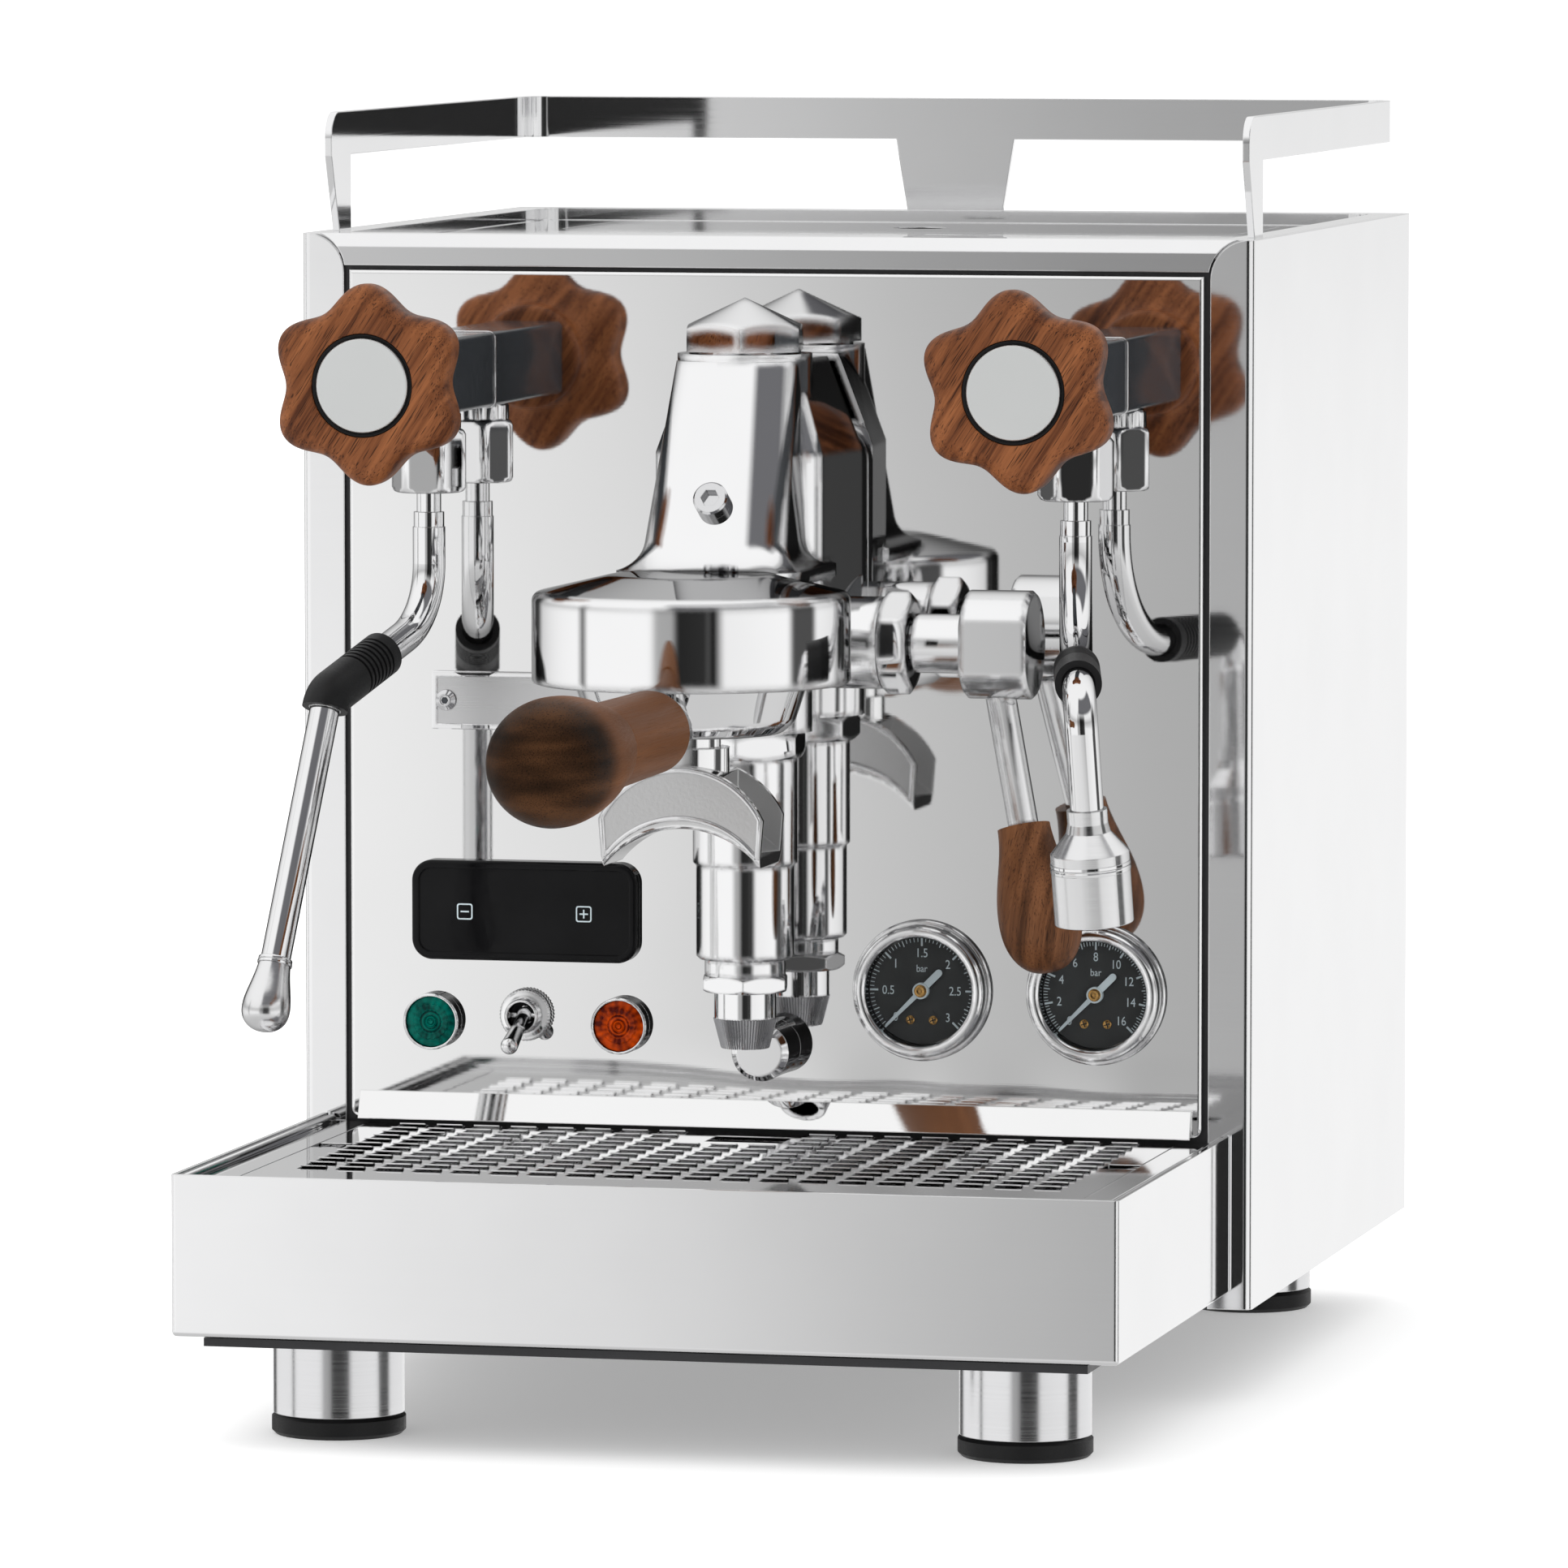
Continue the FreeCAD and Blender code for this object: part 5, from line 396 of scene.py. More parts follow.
def polished_panel(name):
    """Mirror sheet with faint level brushing and a gentle wave above its lower lip."""
    tree = new_material(name, {"Metallic": 1.0})
    shade(tree, "Base Color", noise_at(tree, object_coords(tree), 14.0), [(0.3, 0.895), (0.7, 0.915)])
    brush = noise_at(tree, object_coords(tree, (4, 4, 3500)), detail=4.0, rough=0.65)
    shade(tree, "Roughness", brush, [(0.25, 0.006), (0.75, 0.03)])
    place = axes_of(tree, object_coords(tree))
    low = smooth_share(tree, place["Z"], *WAVE_HEIGHT)
    right = smooth_share(tree, place["X"], *WAVE_ACROSS)
    swell = noise_at(tree, object_coords(tree, (16, 16, 6)), detail=1.0)
    wave = math_node(tree, "MULTIPLY", math_node(tree, "MULTIPLY", swell, low), right)
    waved = add_bump(tree, wave, 1.0, 0.0006, rounded_edges(tree, 0.0005))
    add_bump(tree, brush, 0.006, under=waved)


def cast_spout(name):
    """Chromed casting whose flat sides are left grey and rough."""
    tree = new_material(name, {"Metallic": 1.0})
    facing = axes_of(tree, add_node(tree, "ShaderNodeTexCoord").outputs["Normal"])
    flat = math_node(tree, "ABSOLUTE", facing["Y"])
    grain = noise_at(tree, object_coords(tree), 900.0, 3.0, 0.6)
    shade(tree, "Base Color", flat, [(0.93, 0.9), (0.99, 0.77)])
    shade(tree, "Roughness", flat, [(0.93, 0.03), (0.99, 0.42)])
    rough = math_node(tree, "MULTIPLY", grain, ramp(tree, flat, [(0.95, 0.0), (0.99, 1.0)]))
    add_bump(tree, rough, 0.16, 0.0003, rounded_edges(tree, 0.0005))


def clear_glass(name):
    """Thin clear glass with faint streaks."""
    tree = new_material(name, {"Base Color": (0, 0, 0, 1), "Alpha": 0.12})
    streak = noise_at(tree, object_coords(tree, (40, 40, 160)))
    shade(tree, "Roughness", streak, [(0.3, 0.01), (0.7, 0.03)])


def lens_plastic(name, dark, light):
    """Tinted lamp lens whose colour turns lighter and darker in rings round the middle of its node and in
    facets further out: painted highlights and shade that stand in for the glint of its rings and facets.
    """
    tree = new_material(name, {"Roughness": 0.08, "Specular IOR Level": 0.1})
    low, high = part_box(name)
    place = axes_of(tree, mapped(tree, object_coords(tree), {"Location": -(low + high) / 2}))
    x, z = place["X"], place["Z"]
    square = math_node(tree, "ADD", math_node(tree, "MULTIPLY", x, x), math_node(tree, "MULTIPLY", z, z))
    radius = math_node(tree, "SQRT", square)
    # Painted highlights and shade: the colour rises and falls in rings near the middle and in facets
    # further out, in place of their glint
    waves = math_node(tree, "MULTIPLY", radius, 2 * math.pi / (LENS_RING_PITCH * MM))
    rings = math_node(tree, "SINE", waves)
    turned = math_node(tree, "MULTIPLY", math_node(tree, "ARCTAN2", x, z), float(LENS_FACETS))
    painted_facet_glints = math_node(tree, "MULTIPLY", math_node(tree, "SINE", turned), 0.4)
    outside = smooth_share(tree, radius, *(edge * MM for edge in LENS_RING_EDGE))
    painted_glint_pattern = mixed_color(tree, "MIX", rings, painted_facet_glints, outside)
    cloud = noise_at(tree, object_coords(tree), 260.0, 2.0)
    depth = math_node(tree, "MULTIPLY_ADD", painted_glint_pattern, 0.13, cloud)
    # Dark and light tones are the painted shade and painted highlight of the rings and facets, over a faint
    # random cloud
    shade(tree, "Base Color", depth, [(0.3, dark), (0.72, light)])


def clouded_plastic(name):
    """Milky plastic of the water tank."""
    tree = new_material(name, {"Roughness": 0.3, "Transmission Weight": 0.5})
    cloud = noise_at(tree, object_coords(tree), 30.0)
    shade(tree, "Base Color", cloud, [(0.3, (0.66, 0.71, 0.74)), (0.7, (0.74, 0.78, 0.8))])


def slot_finishes():
    """The material of each slot in the record."""
    metal("steel_sheet", (0.89, 0.89, 0.895), 0.055, 0.025, LEVEL, scratch=0.006, edge=0.0005)
    polished_panel("mirror_panel")
    metal("foot_steel", (0.78, 0.78, 0.79), 0.18, 0.06, LEVEL, scratch=0.03, edge=0.0004)
    coated("black_frame", (0.016, 0.016, 0.018), 0.4, 60.0, 900.0)
    metal("chrome", BRIGHT, 0.012, 0.008, EVEN, edge=0.0008, rim=0.3)
    metal("wand_steel", (0.88, 0.88, 0.885), 0.025, 0.015, EVEN, edge=0.0003, rim=0.3)
    metal("basket_steel", (0.74, 0.74, 0.75), 0.2, 0.05, ACROSS, scratch=0.02, edge=0.0003)
    metal("screw_steel", (0.72, 0.72, 0.73), 0.1, 0.04, EVEN, edge=0.0003, rim=0.5)
    coated("valve_black", (0.036, 0.04, 0.045), 0.12, 40.0, 700.0, bump=0.02, gloss=0.4, edge=0.0008)
    wood("knob_wood", KNOB_TONES, (0, math.radians(57), 0))
    handle_wood("handle_wood")
    wood("grip_wood", GRIP_TONES, (0, math.radians(83), 0), pores=0.45)
    coated("rubber", (0.006, 0.006, 0.0065), 0.5, 90.0, 1800.0, gloss=0.3)
    coated("display_black", (0.004, 0.004, 0.0045), 0.05, 50.0, 300.0, bump=0.0, gloss=0.14, edge=0.0006)
    # Lens tones: painted shade first, then painted highlight
    lens_plastic("green_lens", (0.0, 0.03, 0.026), (0.0, 0.16, 0.12))
    lens_plastic("orange_lens", (0.085, 0.004, 0.0005), (0.72, 0.078, 0.003))
    coated("dial_black", (0.045, 0.048, 0.049), 0.7, 120.0, 2400.0, bump=0.05, gloss=0.3)
    coated("needle_white", (0.62, 0.72, 0.76), 0.4, 100.0, 900.0, bump=0.05)
    clear_glass("gauge_glass")
    metal("boiler_copper", (0.72, 0.4, 0.24), 0.28, 0.08, UPRIGHT, scratch=0.03, edge=0.0004)
    metal("element_steel", (0.5, 0.5, 0.5), 0.35, 0.08, EVEN, scratch=0.02, edge=0.0003)
    coated("pump_plastic", (0.03, 0.03, 0.033), 0.45, 60.0, 900.0, bump=0.12, edge=0.0006)
    clouded_plastic("tank_plastic")


def own_finishes():
    """The materials of single solids and pieces."""
    metal("brass", (0.72, 0.42, 0.14), 0.22, 0.06, (300, 300, 300), edge=0.0002)
    metal("dark_cast", (0.42, 0.42, 0.43), 0.3, 0.08, (500, 500, 60), scratch=0.05)
    for name, edge in (("casting_chrome", 0.003), ("crowned_chrome", 0.0022), ("domed_chrome", 0.0045)):
        metal(name, BRIGHT, 0.012, 0.008, EVEN, edge=edge, rim=0.3)
    metal("satin_steel", (0.84, 0.84, 0.845), 0.2, 0.05, LEVEL, scratch=0.02, edge=0.0004, rim=0.5)
    metal("disc_steel", (0.96, 0.978, 0.97), 0.45, 0.03, EVEN, edge=0.0003)
    metal("plate_steel", (0.8, 0.8, 0.805), 0.3, 0.05, LEVEL, scratch=0.02, edge=0.0003)
    cast_spout("cast_spout")


def dress_nodes():
    """Gives every solid of the frame its own finish, or that of its slot."""
    for name, obj in NODES.items():
        for place in obj.material_slots:
            place.material = FINISH[OWN_FINISH.get(name, SLOT_OF[name])]


# Shapes of the added pieces: sizes are in millimetres, and a profile is (radius, height) points
# Points of a piece that lie closer than this, in metres, become one
WELD = 1e-7
LETTER_WIDTH = 0.84
CORNER_STEPS = 5
CURVE_STEPS = 4
ARC_STEPS = 36
TUBE_SIDES = 12

# Gauges
DIAL_START = 225.0
DIAL_SWEEP = 270.0
DIAL_UNIT = "bar"
DIAL_FIGURES = {
    "boiler_needle": ("0", "0.5", "1", "1.5", "2", "2.5", "3"),
    "pump_needle": ("0", "2", "4", "6", "8", "10", "12", "14", "16"),
}
TICKS_PER_FIGURE = 10
# Outer end of every tick, then inner end and width of each kind
TICK_END = 16.3
LONG_TICK = (13.7, 0.6)
MIDDLE_TICK = (14.4, 0.3)
SHORT_TICK = (15.0, 0.22)
# Reach of a figure from the middle, and how far long ones at the sides are drawn in
FIGURE_REACH = 11.6
FIGURE_PULL = 0.55
FIGURE_TALL = 2.7
UNIT_TALL = 2.2
UNIT_RISE = 6.8
PRINT_THICK = 0.06
BOSS_PROFILE = (
    (1.95, -0.1), (1.95, 0.1), (1.7, 0.26), (1.0, 0.3), (0.8, 0.2), (0.6, 0.2), (0.5, 0.3), (0.0, 0.32),
)
DIAL_SCREW_ACROSS = 3.6
DIAL_SCREW_DROP = 9.1
DIAL_SCREW_PROFILE = ((1.4, 0), (1.4, 0.25), (1.1, 0.5), (0.45, 0.62), (0.0, 0.62))
# Black bars that stand in for the shade of a dial screw's cross slots: turns in degrees, half length,
# width, level and thickness
CROSS_TURNS = (20, 110)
CROSS_HALF = 0.95
CROSS_WIDTH = 0.34
CROSS_LEVEL = 0.5
CROSS_THICK = 0.16

# Display, lamps and switch
KEY_ACROSS = 19.0
KEY_DROP = 0.4
KEY_SINK = 0.6
# Half width and corner of a key's frame, outside and inside
KEY_OUTSIDE = (2.5, 0.8)
KEY_INSIDE = (2.08, 0.5)
KEY_THICK = 0.08
SIGN_HALF = 1.35
SIGN_WIDTH = 0.45
UPRIGHT_THICK = 0.07
# Pitch of the painted highlight rings in a lens's colour, and the radii where they give way to painted
# facet glints, in millimetres
LENS_RING_PITCH = 1.15
LENS_RING_EDGE = (3.4, 4.2)
LENS_RINGS = (
    (0.0, -0.55), (0.3, -0.5), (0.7, -0.2), (1.0, -0.5), (1.35, -0.2), (1.65, -0.5), (2.0, -0.2),
    (2.4, -0.55), (3.3, -0.6), (3.6, -0.25), (4.4, -0.2), (5.2, -0.2), (5.6, -0.55), (6.3, -0.6),
    (6.9, -0.75),
)
LENS_FACETS = 18
LENS_FACET_WAVE = 0.22
LENS_FACET_BAND = (3.5, 5.5)
# Share of a lens's depth that its flange takes up, and the step behind the flange
LENS_FLANGE = 0.24
LENS_STEP = 1.8
BUSH_R = 5.4
BUSH_BORE = 4.4
BUSH_TEETH = 46
BUSH_TOOTH = 0.14
THREAD_START = 3.4
THREAD_PITCH = 0.7
THREAD_DEEP = 0.3
SEAL_PROFILE = ((2.8, 1.3), (4.38, 1.3), (4.38, 2.5), (3.9, 2.7), (3.2, 2.2), (2.8, 2.0), (2.8, 1.3))

# Knobs
KNOB_RECESS_R = 15.6
KNOB_RECESS_DEEP = 3.0
KNOB_PLAIN_R = 16.8
KNOB_RIM_R = 27.55
KNOB_WAVE = 2.7
KNOB_LOBES = 6
KNOB_SWELL = 1.2
KNOB_BACK = ((0.0, 0.0), (14.6, 0.0), (15.8, 0.5), (16.4, 1.4))
KNOB_SIDE = (
    (16.6, 3.0), (17.0, 6.5), (19.4, 8.8), (23.4, 10.4), (26.0, 12.0), (27.3, 14.6), (KNOB_RIM_R, 18.5),
    (27.5, 22.2), (26.7, 24.6), (25.2, 26.4), (23.2, 27.5), (21.2, 27.9), (19.0, 27.98),
)
KNOB_FACE_R = 17.2
KNOB_EASE = 0.25
# Way that a lobe of each knob faces, in degrees
KNOB_TURNS = {"steam": 31.2, "water": 34.9}
# Bore of the black ring that stands in for the shade in each knob's gap, and its play to the recess wall,
# in millimetres
RING_BORE = 14.18
RING_GAP = 0.03

# Name plate and valve bars
# Screw heads of the name plate: radius of the black hexagon that stands in for the shade in each socket,
# the screws' inset, the hexagon's thickness and the rim's profile
SOCKET_R = 1.15
SOCKET_INSET = 4.5
SOCKET_THICK = 0.05
SOCKET_RIM = ((1.3, -0.3), (2.1, -0.3), (1.95, 0.12), (1.6, 0.2), (1.3, 0.12), (1.3, -0.3))
BORDER_BAND = 1.7
BORDER_SINK = 0.1
BORDER_THICK = 0.35
# How far a valve frame reaches past its bar outside and inside, with the corners
VALVE_FRAME = ((0.45, 2.4), (-0.2, 1.8))
VALVE_FRAME_THICK = 0.4

# Spout and handle: each edge of the spout by its inset, the height of its ends and of its top
SPOUT_HALF = 25.2
SPOUT_UPPER = (1.1, 14.6, 29.2)
SPOUT_LOWER = (1.9, 3.0, 14.9)
SPOUT_BEAD_R = 0.75
NECK_LENGTH = 69.6
TANG_R = 5.05
TANG_DEEP = 40.05
HANDLE_NECK = (
    (0.0, TANG_DEEP), (TANG_R, TANG_DEEP), (TANG_R, 0.0), (12.0, 0.0), (12.4, 0.5), (12.55, 20.0),
    (12.8, 45.0), (13.1, 65.0), (13.2, NECK_LENGTH - 0.5), (13.0, NECK_LENGTH), (13.7, NECK_LENGTH + 0.15),
)
HANDLE_BULB = (
    (14.0, 70.4), (14.9, 76.0), (16.2, 84.0), (17.35, 92.0), (18.2, 100.0), (18.6, 107.0), (18.68, 112.0),
    (18.4, 117.0), (17.5, 122.0), (15.8, 127.0), (13.2, 131.2), (9.6, 134.4), (5.0, 136.4), (0.0, 137.0),
)

# Wands: the nuts over them with the way each one faces, in degrees
NUT_FACING = (("steam_swivel", 4.4), ("water_swivel", 13.0))
NUT_HALF_FLATS = 10.2
NUT_LIMIT = NUT_HALF_FLATS * 1.135
NUT_NECK_R = 9.9
NUT_NECK_TALL = 5.4
NUT_MOUTH = 7.2
NUT_BORE = 8.35
NUT_FLUTES = 12
NUT_FLUTE_DEEP = 0.3
# Name, joint, side, knee and end of the wand's lower pipe, and the ring's profile
NOZZLE_RINGS = (
    ("steam_nozzle_ring", "steam_swivel", -1, (15.0, 61.5, 219.3), (15.0, 92.6, 141.9),
     ((4.5, -0.6), (5.0, -0.6), (5.2, -0.3), (5.2, 0.3), (4.95, 0.5), (5.3, 0.75), (5.3, 1.5), (4.5, 1.6))),
    ("water_nozzle_ring", "water_swivel", 1, (12.4, 93.0, 228.0), (14.0, 89.0, 192.0),
     ((11.4, 15.6), (11.95, 15.7), (12.0, 16.6), (11.78, 16.9), (11.78, 17.2), (12.0, 17.5), (11.95, 18.4),
      (11.4, 18.5))),
)
# Drain nozzle: radius at its tip and above its taper, the taper's height, and its knurl
NOZZLE_TIP = 7.2
NOZZLE_WIDE = 9.5
NOZZLE_TAPER = 9.4
NOZZLE_TEETH = 64
NOZZLE_TOOTH = 0.13

# Tray and grate: the rolled rims by radius, sides, inset, drop and distance from both ends
RIM_R = 1.9
RIM_SIDES = 14
RIM_INSET = 2.6
RIM_DROP = 2.2
RIM_ENDS = (3.0, 1.0)
SLOT_PITCH = (11.85, 10.4)
SLOT_SIZE = (8.3, 5.6)
SLOT_MARGINS = (9.0, 20.0)
SLOT_BACK_MARGIN = 4.1
# Lip over a slot from back to front, as (depth, height) points
LOUVRE_LIP = ((2.75, -0.4), (2.5, 0.1), (1.8, 0.45), (0.8, 0.72), (-0.1, 0.85))
LOUVRE_THICK = 0.45
LOUVRE_PLAY = 0.1
# Finger hole: its place from the middle and the back of the grate, half its size, and its border
HOLE_PLACE = (-2.5, -16.3)
HOLE_HALF = (12, 8)
HOLE_BORDER = 2.8


class Shape:
    """Points and faces of one piece, in metres."""

    def __init__(self):
        self.points = []
        self.faces = []

    def rows(self, rows):
        """Joins closed rows of points with faces; a row of one point is a tip."""
        starts = []
        for row in rows:
            starts.append((len(self.points), len(row)))
            self.points.extend(row)
        for (first, count), (second, other) in zip(starts, starts[1:]):
            total = max(count, other)
            for k in range(total):
                j = (k + 1) % total
                corners = (first + k % count, first + j % count, second + j % other, second + k % other)
                unique = list(dict.fromkeys(corners))
                if len(unique) > 2:
                    self.faces.append(unique)

    def cap(self, row):
        """One flat face over a closed row of points."""
        first = len(self.points)
        self.points.extend(row)
        self.faces.append(list(range(first, first + len(row))))


def basis(axis):
    """Two directions square to an axis, and the axis itself."""
    along = Vector(axis).normalized()
    side = along.cross(UP) if abs(along.z) < 0.9 else along.cross(FORWARD)
    side.normalize()
    return side, along.cross(side), along


def lathe(shape, profile, centre, axis, steps, wave=None):
    """Turned form of a profile; wave changes the radius by the angle."""
    side, up, along = basis(axis)
    rows = []
    for radius, height in profile:
        middle = centre + along * (height * MM)
        if radius <= 0:
            rows.append([middle])
            continue
        row = []
        for k in range(steps):
            turn = 2 * math.pi * k / steps
            reach = (radius + (wave(turn, radius, height) if wave else 0)) * MM
            row.append(middle + (side * math.cos(turn) + up * math.sin(turn)) * reach)
        rows.append(row)
    shape.rows(rows)


def on_front(centre, outline):
    """Points of a flat outline that faces the front, round a centre."""
    return [centre + (RIGHT * across + UP * rise) * MM for across, rise in outline]


def slab(shape, outline, centre, thickness):
    """Flat plate of an outline that faces the front."""
    back = on_front(centre, outline)
    front = [point + FORWARD * (thickness * MM) for point in back]
    shape.rows([back, front])
    shape.cap(back[::-1])
    shape.cap(front)


def frame_ring(shape, outer, inner, centre, thickness):
    """Flat ring between two outlines of the same count, which faces the front."""
    low_outer = on_front(centre, outer)
    low_inner = on_front(centre, inner)
    high_outer = [point + FORWARD * (thickness * MM) for point in low_outer]
    high_inner = [point + FORWARD * (thickness * MM) for point in low_inner]
    shape.rows([low_outer, high_outer, high_inner, low_inner, low_outer])


def bar_outline(start, end, width):
    """Corners of a straight bar between two flat points."""
    along = Vector((end[0] - start[0], end[1] - start[1])).normalized()
    across = Vector((-along.y, along.x))
    corners = []
    for place, sign in ((start, -1), (end, -1), (end, 1), (start, 1)):
        corners.append((place[0] + across.x * width * sign / 2, place[1] + across.y * width * sign / 2))
    return corners


def round_square(half, corner):
    """Outline of a square with rounded corners."""
    points = []
    for turn, sx, sy in ((0, 1, 1), (90, -1, 1), (180, -1, -1), (270, 1, -1)):
        for k in range(CORNER_STEPS + 1):
            angle = math.radians(turn + 90 * k / CORNER_STEPS)
            points.append((sx * (half - corner) + corner * math.cos(angle),
                           sy * (half - corner) + corner * math.sin(angle)))
    return points


def circle(centre, first, second, radius, count):
    """Points of a circle in the plane of two directions."""
    turns = [2 * math.pi * k / count for k in range(count)]
    return [centre + (first * math.cos(turn) + second * math.sin(turn)) * radius for turn in turns]


def smoothed(points):
    """Soft curve through the points of a profile."""
    ends = [points[0], *points, points[-1]]
    made = []
    for around in zip(ends, ends[1:], ends[2:], ends[3:]):
        for k in range(CURVE_STEPS):
            t = k / CURVE_STEPS
            spot = []
            for before, first, second, after in zip(*around):
                bend = 2 * before - 5 * first + 4 * second - after
                twist = 3 * first - before - 3 * second + after
                spot.append((2 * first + (second - before) * t + bend * t ** 2 + twist * t ** 3) / 2)
            made.append(tuple(spot))
    return made + [points[-1]]


def lettering(shape, words, height, centre, thickness):
    """Raised figures that face the front, centred on a point."""
    curve = bpy.data.curves.new("lettering", "FONT")
    curve.body = words
    curve.align_x = "CENTER"
    curve.align_y = "CENTER"
    curve.resolution_u = 4
    curve.extrude = thickness / 2
    text = new_object("lettering", curve)
    bpy.context.view_layer.update()
    mesh = bpy.data.meshes.new_from_object(text)
    heights = [vertex.co.y for vertex in mesh.vertices]
    middle = (max(heights) + min(heights)) / 2
    scale = height / (max(heights) - min(heights))
    first = len(shape.points)
    for vertex in mesh.vertices:
        flat = RIGHT * (vertex.co.x * scale * LETTER_WIDTH) + UP * ((vertex.co.y - middle) * scale)
        shape.points.append(centre + (flat + FORWARD * (vertex.co.z + thickness / 2)) * MM)
    for face in mesh.polygons:
        shape.faces.append([first + index for index in face.vertices])
    bpy.data.objects.remove(text)
    bpy.data.curves.remove(curve)
    bpy.data.meshes.remove(mesh)


def piece(name, shape, body, slot, finish=None, replaces=None, angle=35):
    """Object of a shape that rides on a body, with the finish of its slot unless it has its own."""
    mesh = bpy.data.meshes.new(name)
    mesh.from_pydata([tuple(point) for point in shape.points], [], shape.faces)
    work = bmesh.new()
    work.from_mesh(mesh)
    bmesh.ops.remove_doubles(work, verts=work.verts, dist=WELD)
    bmesh.ops.recalc_face_normals(work, faces=work.faces)
    for face in work.faces:
        face.smooth = True
    work.to_mesh(mesh)
    work.free()
    mesh.set_sharp_from_angle(angle=math.radians(angle))
    mesh.materials.append(FINISH[finish or slot])
    made = new_object(name, mesh)
    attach(made, body)
    if replaces:
        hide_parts(replaces)


def pivot_of(joint):
    """Place of a joint at rest."""
    return Vector(JOINTS[joint]["pos_m"])


def at_depth(joint, y):
    """Place of a joint, moved along Y to a depth."""
    pivot = pivot_of(joint)
    return Vector((pivot.x, y, pivot.z))


# Gauges
def dial_point(radius, share):
    """Place on a dial, where share runs from the first to the last mark."""
    turn = math.radians(DIAL_START - DIAL_SWEEP * share)
    return radius * math.cos(turn), radius * math.sin(turn)


def gauge_marks(needle, figures):
    """Ticks, figures and the unit of the dial behind a pointer."""
    centre = at_depth(needle + "_turn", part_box("gauge_dials")[0].y)
    shape = Shape()
    last = (len(figures) - 1) * TICKS_PER_FIGURE
    for k in range(last + 1):
        inner, width = SHORT_TICK
        if k % TICKS_PER_FIGURE == 0:
            inner, width = LONG_TICK
        elif k % (TICKS_PER_FIGURE // 2) == 0:
            inner, width = MIDDLE_TICK
        tick = bar_outline(dial_point(inner, k / last), dial_point(TICK_END, k / last), width)
        slab(shape, tick, centre, PRINT_THICK)
    for k, words in enumerate(figures):
        share = k / (len(figures) - 1)
        sideways = abs(dial_point(1.0, share)[0])
        spot = dial_point(FIGURE_REACH - FIGURE_PULL * sideways * (len(words) - 1), share)
        lettering(shape, words, FIGURE_TALL, on_front(centre, [spot])[0], PRINT_THICK)
    lettering(shape, DIAL_UNIT, UNIT_TALL, centre + UP * (UNIT_RISE * MM), PRINT_THICK)
    piece(needle.replace("needle", "dial_marks"), shape, "machine", "needle_white")


def needle_boss(needle):
    """Brass boss in the middle of a pointer."""
    shape = Shape()
    lathe(shape, BOSS_PROFILE, at_depth(needle + "_turn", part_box(needle)[0].y), FORWARD, 40)
    piece(needle + "_boss", shape, needle, "boiler_copper", "brass")


def dial_screws():
    """Brass cross-head screws of both dials, with black bars on their heads that stand in for the shade
    down in their cross slots.
    """
    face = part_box("gauge_dials")[0].y
    heads = Shape()
    slots = Shape()
    for needle in DIAL_FIGURES:
        pivot = pivot_of(needle + "_turn")
        for side in (-1, 1):
            centre = Vector((pivot.x + side * DIAL_SCREW_ACROSS * MM, face, pivot.z - DIAL_SCREW_DROP * MM))
            lathe(heads, DIAL_SCREW_PROFILE, centre, FORWARD, 28)
            for turn in CROSS_TURNS:
                angle = math.radians(turn)
                reach = (CROSS_HALF * math.cos(angle), CROSS_HALF * math.sin(angle))
                cross = bar_outline((-reach[0], -reach[1]), reach, CROSS_WIDTH)
                # Black cross on each head: painted shade of the cross slot, which is not cut
                slab(slots, cross, centre + FORWARD * (CROSS_LEVEL * MM), CROSS_THICK)
    piece("dial_screw_heads", heads, "machine", "boiler_copper", "brass")
    piece("dial_screw_slot_shades", slots, "machine", "valve_black")


# Display, lamps and switch
def display_marks():
    """Minus and plus keys on the display."""
    low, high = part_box("display_panel")
    middle = (low + high) / 2
    face = low.y + KEY_SINK * MM
    shape = Shape()
    for side, upright in ((-1, False), (1, True)):
        centre = Vector((middle.x + side * KEY_ACROSS * MM, face, middle.z - KEY_DROP * MM))
        frame_ring(shape, round_square(*KEY_OUTSIDE), round_square(*KEY_INSIDE), centre, KEY_THICK)
        slab(shape, bar_outline((-SIGN_HALF, 0), (SIGN_HALF, 0), SIGN_WIDTH), centre, KEY_THICK)
        if upright:
            slab(shape, bar_outline((0, -SIGN_HALF), (0, SIGN_HALF), SIGN_WIDTH), centre, UPRIGHT_THICK)
    piece("display_keys", shape, "machine", "needle_white")


def lamp_lens(node):
    """Ringed and faceted lens in place of the plain one."""
    low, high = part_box(node)
    centre = Vector(((low.x + high.x) / 2, low.y, (low.z + high.z) / 2))
    outer = (high.x - low.x) / 2 / MM
    deep = (high.y - low.y) / MM
    inner = outer - LENS_STEP
    flange = -deep * LENS_FLANGE
    edge = ((outer - 0.25, -0.95), (outer, -1.3), (outer, flange))
    back = ((inner, flange), (inner, -deep), (0.0, -deep))

    def facets(turn, radius, height):
        """Facets in a band round the rings."""
        inside = LENS_FACET_BAND[0] < radius < LENS_FACET_BAND[1]
        return LENS_FACET_WAVE * math.cos(LENS_FACETS * turn) if inside else 0.0

    shape = Shape()
    lathe(shape, LENS_RINGS + edge + back, centre, FORWARD, 108, facets)
    piece(node + "_ringed", shape, "machine", node, replaces=node, angle=22)


